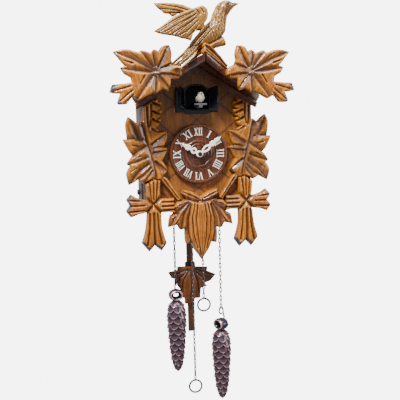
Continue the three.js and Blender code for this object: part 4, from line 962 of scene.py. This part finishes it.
for label, side in SIDES:
    stub = lambda p, side=side: ((p[:, 0] * side > 70.2) & (p[:, 1] < 60.4) & (
        (p[:, 0] * side * 0.95 + (p[:, 1] - 43) * 0.26 > 74.6) | (p[:, 1] < 46.8))).astype(float)
    grain = mat_carved if side < 0 else mat_carved_b
    relief(f"roof_leaf_{label}_carved", curved(ROOF_LEAF, side), 35.4, 29.3, "case", [grain, mat_endgrain],
           (f"roof_leaf_{label}",), cuts(ROOF_CUTS, side), (1.3, 1.5), step=0.5,
           shape=crown(1.1, 4.0), ends=stub, seed=3 + side)
    relief(f"side_vine_{label}_carved", curved(VINE, side), 7.4, 0.3, "case", grain,
           (f"side_vine_{label}",), cuts(VINE_CUTS, side), (1.5, 1.9), step=0.5, shape=crown(1.2, 4.0),
           seed=11 + side)
    tips = [[(53.4, -77.4), (46.9, -85.3), (41.9, -79.8), (35.9, -85.2), (31, -78.4)],
            [(61.6, -33.6), (65.9, -38.3), (63, -43.5), (66.4, -48.4), (62.4, -53.7)]]
    tips = [[(x * side, z) for x, z in line] for line in tips]
    near_tip = lambda p, tips=tips: np.minimum(line_dist(p, tips[0])[0], line_dist(p, tips[1])[0] * 1.6)
    feet = lambda p, f=near_tip: (f(p) < 2.5).astype(float)
    cross_shape = lambda p, d, f=near_tip: 1.2 * (1 - np.exp(-d / 3.0)) - 2.6 * np.clip(1 - f(p) / 2.8, 0, 1)
    relief(f"foot_cross_{label}_carved", curved(CROSS, side), 8.0, 0.3, "case", [mat_cross, mat_endgrain],
           (f"foot_cross_{label}",), cuts(CROSS_CUTS, side, gentle=1), (1.5, 2.0), step=0.55,
           shape=cross_shape, ends=feet, seed=21 + side)

LEAF_HALF = [(0, -38.4), (7.5, -33.2, 0.5), (15.5, -31, 0.4), (16.8, -34.4), (12.6, -39.4, -0.4), (16.2, -41.2),
             (20.8, -41.6), (24.2, -45.6), (22.8, -51.6, -0.3), (27.4, -54.2, 0.4), (29.4, -64, 0.6), (24.6, -62.6),
             (21.4, -62), (18.8, -66.8, 0.4), (14.4, -65.8, 0.2), (14.6, -72.6, 0.3), (13.8, -79.9, 0.3),
             (9.2, -79.1), (7.4, -83.4), (5.8, -86.4), (2.6, -90.6), (0, -94.7)]
half_right = curved(LEAF_HALF)
cut_at = next(i for i, p in enumerate(half_right) if abs(p[0]) < 1e-9 and p[1] < -90)
half_right = half_right[:cut_at + 1]
bottom_outline = half_right + [(-x, z) for x, z in reversed(half_right[1:-1])]
LEAF_CUTS = [([(3.0, -42), (4.8, -58), (3.6, -74), (1.0, -90)], 1.1, 1.2, 0.3),
             ([(5.6, -42.6), (8.4, -56), (7.6, -70), (4.0, -84)], 1.3, 1.3, 0.4),
             ([(9, -45), (12.2, -58), (12.0, -70), (9.8, -78.6)], 2.0, 2.0, 0.3),
             ([(11, -45), (16, -54), (18.2, -65.6)], 2.4, 2.3, 0.3),
             ([(12, -43.6), (20.4, -50), (27.8, -62.4)], 2.6, 2.4, 0.3),
             ([(14, -42.6), (19.4, -45), (23.4, -48)], 1.8, 1.6, 0.3),
             ([(15, -50), (21, -58), (23.6, -61.6)], 1.3, 1.2, 0.3),
             ([(16.6, -46.4), (22.6, -52), (25.6, -56.4)], 1.3, 1.2, 0.3),
             ([(1.2, -40.4), (8, -36.6), (15.6, -33.2)], 1.7, 1.6, 0.2),
             ([(1, -42.2), (6, -41.6), (12.6, -39.6)], 2.0, 2.2, 0.1)]
relief("bottom_leaf_carved", bottom_outline, 8.8, 0.3, "case", mat_cross, ("bottom_leaf",),
       cuts(LEAF_CUTS, 1) + cuts(LEAF_CUTS, -1) + cuts([([(0, -50), (0, -92)], 0.7, 0.5, 0.2)], 1), (2.2, 2.4),
       step=0.55, shape=crown(1.9, 5.0), seed=41)

PX = -4.4
BOB = [(-13, -106), (-13.2, -109.4), (-21.9, -110.7), (-19, -116.5, 0.3), (-14.2, -117.5), (-13.7, -123.6, 0.3),
       (-10.8, -127.6), (-11, -134.4, 0.4), (-6.7, -136.6), (-6.6, -141.5), (-3, -142.4), (2.6, -139.4),
       (3, -137.2), (8.2, -137.2, 0.2), (9.1, -127.9, 0.4), (15.4, -125.9, 0.2), (13, -123.2), (18.7, -121.2, 0.2),
       (23.8, -115.4, 0.4), (15.2, -111.6, 0.2), (15.9, -107.9), (0, -106.4)]
BOB = [(x + PX, z) for x, z, *_ in BOB]
BOB_CUTS = [([(PX, -109), (PX, -124), (PX - 1.6, -140)], 1.6, 0.9, 0.3),
            ([(PX - 2, -110), (PX - 8, -120), (PX - 9.6, -132)], 1.6, 1.0, 0.3),
            ([(PX + 2, -110), (PX + 6, -122), (PX + 7, -134)], 1.6, 1.0, 0.3),
            ([(PX - 3, -109), (PX - 12, -112), (PX - 20, -113)], 1.7, 1.0, 0.3),
            ([(PX - 3, -109.6), (PX - 11, -117), (PX - 14, -122)], 1.5, 1.0, 0.3),
            ([(PX + 3, -109), (PX + 12, -112), (PX + 21, -116)], 1.7, 1.0, 0.3),
            ([(PX + 3, -110), (PX + 10, -117), (PX + 14, -123)], 1.5, 1.0, 0.3)]
relief("pendulum_leaf_carved", BOB, -21.8, -24.8, "pendulum_bob", mat_stick, ("pendulum_leaf",),
       BOB_CUTS, (1.4, 1.0), step=0.55, shape=crown(0.5, 3.0), seed=51)

# ---- carved bird on the ridge ----------------------------------------------------------------------------
BIRD = [(30.9, 124.9), (27.4, 125.9), (25.2, 125.6), (23.4, 126.8, -0.2), (21.3, 127.4), (16.9, 127.0, -0.3),
        (13.8, 125.4), (11.6, 123, -0.2), (8.4, 116.8), (6.7, 111.4), (2.5, 108.1), (-4.7, 100.2), (-10, 94.4),
        (-12, 91.1), (-20.4, 82.8), (-30.4, 74.4), (-27.4, 72.6), (-20.4, 71.9), (-17.4, 74.6), (-9.4, 81.2),
        (-6.2, 86.0), (-4.4, 90.2), (2, 91.0), (4.7, 91.9), (10.6, 94.2), (14.8, 96.9), (16.2, 98.6),
        (18.9, 102.8, -0.3), (19.5, 108.6), (20.5, 114.4), (23.3, 118.6), (26.4, 122)]
bird_strokes = [([(21.6, 124.2), (26.4, 124.2), (30.2, 124.8)], 0.5, 0.4, 0.2),
                ([(22.6, 126.2), (22.8, 123.8), (22.0, 121.6)], 0.6, 0.6, 0.3),
                ([(14.4, 124.4), (12.6, 120), (11.6, 115)], 0.9, 0.8, 0.5),
                ([(12.4, 122), (10.6, 117), (9.6, 112)], 0.8, 0.7, 0.5),
                ([(16.6, 121), (14.6, 115.4), (13.8, 110)], 0.8, 0.7, 0.5),
                ([(19, 118.6), (17.2, 113), (17, 108)], 0.8, 0.7, 0.5),
                ([(3.4, 105.4), (-4.4, 97), (-12.4, 88)], 0.9, 0.9, 0.3),
                ([(5.8, 103.4), (-2, 94.6), (-14.4, 82.4), (-24, 74.6)], 0.8, 1.0, 0.2),
                ([(-4.4, 89.6), (-11, 81.6), (-21.4, 73.6)], 0.7, 1.0, 0.2),
                ([(-9, 92), (-17.4, 83.4), (-28.6, 74.4)], 0.7, 0.9, 0.2),
                ([(-7, 90.4), (-14, 82.6), (-26, 73.6)], 0.6, 0.8, 0.2),
                ([(1, 100), (-8, 90.6), (-19, 80)], 0.6, 0.7, 0.2)]
for i in range(7):
    for j in range(6):
        x, z = 3.5 + 2.6 * i + 0.7 * (j % 2), 94.5 + 3.1 * j + 0.9 * i
        bird_strokes.append(([(x, z), (x + 0.5, z - 1.5), (x - 0.3, z - 2.5)], 0.75, 0.55, 0.5))


def bird_round(pts, d):
    head = np.exp(-(((pts[:, 0] - 19) / 5) ** 2 + ((pts[:, 1] - 122.5) / 5.5) ** 2))
    return 4.2 * (1 - np.exp(-d / 4.2)) + 1.0 * head + 1.2 * np.clip((94 - pts[:, 1]) / 8, 0, 1)


relief("roof_bird_body_carved", curved(BIRD), 36.2, 31.0, "case", mat_bird, ("roof_bird_body",),
       bird_strokes, (1.8, 2.0), step=0.5, shape=bird_round, back_shape=lambda p,
       d: -2.6 * (1 - np.exp(-d / 3.0)) + 8.4 * np.clip((92 - p[:, 1]) / 8, 0, 1), seed=61)
EYE = (19.4, 0, 123.6)
lathe("roof_bird_eye", [(0.2, 41.0), (1.15, 41.0), (1.15, 41.5), (0.8, 41.95), (0.2, 42.15)], EYE, "y", 20,
      mat_black, "case")
lathe("roof_bird_eye_ring", [(1.2, 40.2), (2.2, 40.2), (2.1, 41.5), (1.6, 41.75), (1.2, 41.4)], EYE, "y", 24,
      mat_bird, "case")

NEAR_WING = [(-42.7, 100.7), (-36.3, 104.7, -0.3), (-26.1, 112.5, -0.4), (-17.5, 116.6), (-5.6, 120.7),
             (-2.2, 121.6), (1.6, 119.2, -0.4), (2.4, 115.5), (1.8, 111.5), (-0.9, 107.4, -0.3), (-5.2, 104.1),
             (-10.5, 99.2), (-12.3, 93.5), (-15.6, 94.6), (-19.9, 95.3, 0.2), (-24.4, 96.8, 0.2),
             (-29.4, 97.6, 0.2), (-34.6, 98.2, 0.2), (-38.6, 99.2)]
NEAR_WING = [(x, z, *(-b for b in r)) for x, z, *r in NEAR_WING]
feathers = [([(-9 + 0.9 * k, 117.0 - 2.6 * k), (-24 + 3.0 * k, 110.6 - 2.9 * k),
              (-40.4 + 6.2 * k, 101.2 - 1.3 * k)], 0.55, 0.9, 0.1) for k in range(5)]
feathers += [([(-11 + 0.9 * k, 115.4 - 2.6 * k), (-26 + 3.0 * k, 107.8 - 2.9 * k),
               (-37.4 + 6.2 * k, 100.6 - 1.3 * k)], 0.35, 0.45, 0.2) for k in range(4)]
feathers += [([(-7.6, 118.6), (-4.8, 114.2)], 0.8, 1.2, 0.2), ([(-3.8, 119.6), (-1.4, 115.6)], 0.8, 1.2, 0.2)]
relief("roof_bird_wing_near_carved", curved(NEAR_WING), 43.4, 40.4, "case", mat_bird,
       ("roof_bird_wing_near",), feathers, (1.2, 1.0), step=0.5, shape=crown(1.0, 3.0), seed=71)
FAR_WING = [(-39.6, 125.9), (-30.8, 126.3), (-22.2, 126.1), (-15.3, 125.0), (-7.5, 122.1), (2, 114), (4, 104),
            (-4, 104), (-13, 114.6), (-19, 118.0), (-22, 116, 0.2), (-24.7, 115.2), (-26.6, 117.4, 0.2),
            (-31.1, 117.7), (-33, 119.8, 0.2), (-36.1, 121.8)]
far_cuts = [([(-6, 119), (-20, 122.6), (-38.6, 125.4)], 0.9, 0.8, 0.2),
            ([(-6, 116.6), (-20, 120), (-34.4, 121.4)], 0.9, 0.8, 0.2),
            ([(-6, 114.6), (-18, 118.4), (-27.4, 117.6)], 0.9, 0.8, 0.2)]
relief("roof_bird_wing_far_carved", [(x, z) for x, z, *_ in FAR_WING], 27.0, 24.0, "case", mat_bird,
       ("roof_bird_wing_far",), far_cuts, (1.2, 1.0), step=0.55, shape=crown(0.7, 2.0), seed=81)


def twig():
    """Cut twig under the bird."""
    tilt = 0.38
    axis = Vector((math.cos(tilt), 0, math.sin(tilt)))
    side = Vector((-math.sin(tilt), 0, math.cos(tilt)))
    centre = Vector((9.4, 34.6, 91.3))
    verts, faces, rim = [], [], []
    stations = [-8.5, -8.2, -7, -4, 0, 4, 7, 7.9, 8.35, 8.5]
    radii = [1.9, 2.2, 2.5, 2.8, 3.1, 3.6, 4.1, 4.2, 4.1, 3.7]
    n = 28
    for st, r in zip(stations, radii):
        for k in range(n):
            a = math.tau * k / n
            rr = r * (1 - 0.05 * (k % 4 == 0)) - 0.1
            p = centre + axis * st + side * (rr * math.sin(a)) + Vector((0, rr * math.cos(a), 0))
            verts.append(at(*p))
            # the rings by the cut end are painted lighter, partly wear and partly painted highlight
            rim.append(0.7 if st > 8 else 0.0)
    for i in range(len(stations) - 1):
        for k in range(n):
            k2 = (k + 1) % n
            faces.append((i * n + k, (i + 1) * n + k, (i + 1) * n + k2, i * n + k2))
    faces.append(tuple(range(n)))
    faces.append(tuple((len(stations) - 1) * n + k for k in reversed(range(n))))
    obj = make("roof_bird_twig", verts, faces, [mat_bird, mat_endgrain], "case", (), {"rim": rim})
    obj.data.polygons[len(faces) - 1].material_index = 1


twig()


def ridge_rise(pts, d):
    """The ridge cap follows the prow of the roof on the right and stays under the tail on the left."""
    x = pts[:, 0]
    return np.where(x > -2, 10.5 * np.clip(1 - np.abs(x) / 21, 0, 1), 2.4 * np.clip((x + 24) / 22, 0, 1))


RIDGE_CAP = [(0, 84.6), (21.5, 72.0), (22.0, 75.2, 0.4), (15.4, 82.0, 0.6), (9.6, 87.2, 0.3), (5.4, 90.8),
             (0, 92.4), (-4.8, 90.4), (-12, 84.4), (-19.6, 78.6), (-23.4, 73.4, 0.2), (-22.6, 71.4)]
relief("roof_bird_saddle", curved(RIDGE_CAP), 30, 26, "case", mat_carved, ("roof_bird_perch",),
       (([(1.0, 89.6), (8.6, 84.6), (20.6, 74.2)], 2.2, 2.0, 0.2),
        ([(0.6, 86.8), (9.4, 81.0), (19.6, 74.0)], 1.3, 1.0, 0.3),
        ([(-1.4, 88.6), (-9.4, 83.4), (-21.6, 74.6)], 1.4, 1.2, 0.3)), (1.2, 1.6), step=0.6, shape=ridge_rise)

# ---- dial, numerals and hands ----------------------------------------------------------------------------
R = 26.5
profile = [(2.9, 0.3), (R - 0.2, 0.3), (R, 0.6), (R, 2.6), (R - 0.3, 3.9), (R - 0.8, 4.8), (R - 1.5, 5.0),
           (R - 2.1, 4.9), (R - 2.6, 4.3), (R - 3.0, 3.9), (R - 3.4, 4.1), (R - 3.9, 3.9), (15.6, 3.6),
           (14.6, 3.62), (14.2, 3.45), (13.8, 3.6), (12.6, 3.55), (12.2, 4.0), (11.6, 4.25), (11.0, 4.25),
           (10.5, 4.0), (10.1, 3.6), (9.2, 3.55), (8.8, 3.85), (8.3, 3.95), (7.8, 3.85), (7.4, 3.5), (6.4, 3.5),
           (6.1, 3.75), (5.6, 3.8), (5.2, 3.6), (3.4, 3.5), (2.9, 3.5)]
# the dial's grooves and centre are painted darker, stain and painted shade, and its raised rings lighter, wear and
# painted highlight
dial_cav = [0.6 if 10.0 < r < 10.3 or 7.2 < r < 7.5 or abs(r - 14.2) < 0.1 or abs(r - (R - 3.0)) < 0.1
            or r < 3.5 else 0.0 for r, _ in profile]
dial_rim = [0.55 if h > 4.7 or 3.95 < h < 4.3 and r < 20 else 0.0 for r, h in profile]
SEG = 128
dial = lathe("dial_turned", profile, (0, 0, 0), "y", SEG, mat_dial, "case", ("dial",),
             {"cav": np.repeat(dial_cav, SEG), "rim": np.repeat(dial_rim, SEG)})
outward(dial, close_bore=True)

HOURS = ["XII", "I", "II", "III", "IIII", "V", "VI", "VII", "VIII", "IX", "X", "XI"]


def bar(x0, z0, x1, z1, w):
    dx, dz = x1 - x0, z1 - z0
    length = math.hypot(dx, dz)
    nx, nz = -dz / length * w / 2, dx / length * w / 2
    return [(x0 - nx, z0 - nz), (x1 - nx, z1 - nz), (x1 + nx, z1 + nz), (x0 + nx, z0 + nz)]


def glyph(ch):
    """Serifed strokes of one letter, 1 high, and its width."""
    serif = lambda x, z, w: bar(x - w / 2, z, x + w / 2, z, 0.07)
    if ch == "I":
        return [bar(0.16, 0.02, 0.16, 0.98, 0.13), serif(0.16, 0.035, 0.32), serif(0.16, 0.965, 0.32)], 0.32
    if ch == "V":
        return [bar(0.14, 0.97, 0.38, 0.02, 0.13), bar(0.62, 0.97, 0.40, 0.02, 0.06), serif(0.14, 0.965, 0.28),
                serif(0.62, 0.965, 0.22)], 0.74
    return [bar(0.12, 0.97, 0.6, 0.03, 0.14), bar(0.6, 0.97, 0.12, 0.03, 0.06), serif(0.12, 0.965, 0.24),
            serif(0.6, 0.965, 0.24), serif(0.12, 0.035, 0.24), serif(0.6, 0.035, 0.24)], 0.72


def numerals():
    verts, faces = [], []
    height, mid = 6.6, 19.6
    for k, word in enumerate(HOURS):
        a = math.tau * k / 12
        strokes, x = [], 0.0
        for ch in word:
            s, w = glyph(ch)
            strokes += [[(px + x, pz) for px, pz in q] for q in s]
            x += w + 0.1
        x -= 0.1
        squeeze = min(0.95, 7.3 / (x * height))
        for q in strokes:
            base = len(verts)
            for depth, inset in ((3.5, 0), (4.15, 0.0), (4.3, 0.06)):
                cx = sum(p[0] for p in q) / 4
                cz = sum(p[1] for p in q) / 4
                for px, pz in q:
                    px, pz = px + (cx - px) * inset, pz + (cz - pz) * inset * 0.4
                    u = (px - x / 2) * height * squeeze
                    v = mid + (pz - 0.5) * height
                    verts.append(at(u * math.cos(a) + v * math.sin(a), depth, -u * math.sin(a) + v * math.cos(a)))
            for layer in (0, 4):
                for i in range(4):
                    j = (i + 1) % 4
                    faces.append((base + layer + i, base + layer + j, base + layer + 4 + j, base + layer + 4 + i))
            faces.append((base + 3, base + 2, base + 1, base))
            faces.append((base + 8, base + 9, base + 10, base + 11))
    outward(make("hour_numerals", verts, faces, mat_ivory, "case", smooth=20))


numerals()


def hand(name, half, length, slot_half, front, angle, body, node):
    right = [(0, -2.9), (1.5, -2.5), (2.6, -1.3), (2.9, 0.3), (2.4, 1.8), (1.3, 2.8)] + half
    outline = right + [(0, length)] + [(-x, z) for x, z in reversed(right[1:])]
    slot_pts = [(0, slot_half[0])] + slot_half[2] + [(0, slot_half[1])] + [(-x, z) for x,
            z in reversed(slot_half[2])]
    c, s = math.cos(math.radians(angle)), math.sin(math.radians(angle))
    turn = lambda pts: [(u * c + v * s, -u * s + v * c) for u, v in pts]
    relief(name, turn(outline), front, front - 0.8, body, mat_ivory, (node,), (), (0.4, 0.25),
           (turn(circle(1.5, 14)), turn(slot_pts)), step=0.42, rough=0.01)


hand("hour_hand_pierced", [(1.4, 3.2), (2.6, 4.4), (3.0, 6.0), (2.3, 7.6), (1.2, 8.2), (1.3, 9.6), (2.8, 10.8),
                           (2.4, 12.2), (2.7, 13.2), (1.6, 14.2), (1.3, 15.6), (0.9, 16.6)], 18.2,
     (4.0, 7.4, [(0.9, 4.8), (1.1, 5.9)]), 7.0, -59, "hour_works", "hour_hand")
hand("minute_hand_pierced", [(1.2, 3.4), (2.2, 4.8), (2.7, 7.0), (2.6, 9.4), (1.6, 11.6), (1.5, 12.6), (2.7, 13.6),
                             (2.2, 14.6), (2.7, 15.6), (2.2, 16.6), (1.2, 17.8), (2.1, 19.0), (1.6, 20.2),
                             (1.6, 21.4), (0.8, 22.6)], 24.6, (4.4, 10.6, [(0.8, 5.8), (1.2, 7.8), (0.8, 9.6)]),
     9.0, 52.5, "minute_works", "minute_hand")

# ---- cuckoo ----------------------------------------------------------------------------------------------
PERCH_D = 16.0


def little_bird():
    spine = [(0, 6.4, 45.2), (0, 4.6, 45.9), (0, 2.6, 46.8), (0, 0.6, 47.9), (0, -0.6, 49.2), (0, -1.1, 50.6),
             (0, -1.3, 51.8), (0, -1.6, 52.9), (0, -1.7, 53.6)]
    radii = [0.5, 1.3, 2.4, 3.2, 3.3, 3.0, 2.8, 2.2, 0.7]
    pts = spline([at(x, PERCH_D - y, z) for x, y, z in spine], 4)
    r = np.interp(np.linspace(0, 8, len(pts)), range(9), radii)
    v, f = sweep(pts, 0.001, 20, taper=r)
    make("cuckoo_bird_body", v, f, mat_bird_white, "cuckoo", ("cuckoo_bird",), smooth=60)
    b = [at(0, PERCH_D + 3.4, 51.7), at(0, PERCH_D + 4.7, 51.5), at(0, PERCH_D + 6.0, 51.1)]
    v, f = sweep(b, 0.001, 12, taper=[0.85, 0.6, 0.15])
    make("cuckoo_bird_beak", v, f, mat_grey, "cuckoo", smooth=60)
    for label, side in SIDES:
        wing = spline([at(side * 2.3, PERCH_D + 0.6, 50.3), at(side * 2.8, PERCH_D - 0.6, 48.6),
                       at(side * 2.6, PERCH_D - 3.4, 46.8), at(side * 1.9, PERCH_D - 6, 45.6)], 5)
        v, f = sweep(wing, 0.001, 10, taper=np.interp(np.linspace(0, 1, len(wing)), [0, 0.3, 0.7, 1],
                [0.7, 1.25, 0.9, 0.25]))
        make(f"cuckoo_bird_wing_{label}", v, f, mat_bird_white, "cuckoo", smooth=60)
        e = [at(side * 1.7, PERCH_D + 3.2, 52.4), at(side * 1.85, PERCH_D + 3.5, 52.45),
             at(side * 1.95, PERCH_D + 3.7, 52.5)]
        v, f = sweep(e, 0.001, 8, taper=[0.42, 0.42, 0.2])
        make(f"cuckoo_bird_eye_{label}", v, f, mat_black, "cuckoo", smooth=60)


little_bird()

# ---- backdrop and light ----------------------------------------------------------------------------------


def backdrop():
    m = bpy.data.materials.new("backdrop_white")
    m.use_nodes = True
    nt = m.node_tree
    out = nt.nodes["Material Output"]
    em = nt.nodes.new("ShaderNodeEmission")
    lp = nt.nodes.new("ShaderNodeLightPath")
    mul = nt.nodes.new("ShaderNodeMath")
    mul.operation = "MULTIPLY_ADD"
    mul.inputs[1].default_value = 6.0
    mul.inputs[2].default_value = 0.5
    nt.links.new(lp.outputs["Is Camera Ray"], mul.inputs[0])
    nt.links.new(mul.outputs[0], em.inputs["Strength"])
    nt.links.new(em.outputs[0], out.inputs["Surface"])
    mesh = bpy.data.meshes.new("backdrop")
    mesh.from_pydata([(-25, 3, -25), (25, 3, -25), (25, 3, 25), (-25, 3, 25)], [], [(0, 1, 2, 3)])
    mesh.materials.append(m)
    obj = bpy.data.objects.new("backdrop", mesh)
    scene.collection.objects.link(obj)


backdrop()


def area(name, place, aim, size, power, colour=(1, 1, 1), size_y=None):
    data = bpy.data.lights.new(name, "AREA")
    data.shape = "RECTANGLE"
    data.size, data.size_y = size, size_y or size
    data.energy = power
    data.color = colour
    obj = bpy.data.objects.new(name, data)
    scene.collection.objects.link(obj)
    obj.location = place
    obj.rotation_euler = (Vector(aim) - Vector(place)).to_track_quat("-Z", "Y").to_euler()


area("key", (-0.42, -0.62, 0.72), (0, -0.04, -0.06), 0.2, 23)
area("fill", (0.85, -0.6, 0.12), (0, -0.04, -0.08), 0.45, 4.6, (1, 0.96, 0.95))
area("top", (0.12, -0.34, 0.8), (0, -0.04, 0), 0.8, 11, (0.9, 0.9, 1), 0.3)
area("low", (-0.3, -0.7, -0.75), (0, -0.04, -0.1), 0.6, 1.2, (0.97, 0.95, 1))
world = bpy.data.worlds.new("studio")
scene.world = world
world.use_nodes = True
world.node_tree.nodes["Background"].inputs["Color"].default_value = (1, 1, 1, 1)
world.node_tree.nodes["Background"].inputs["Strength"].default_value = 0.3
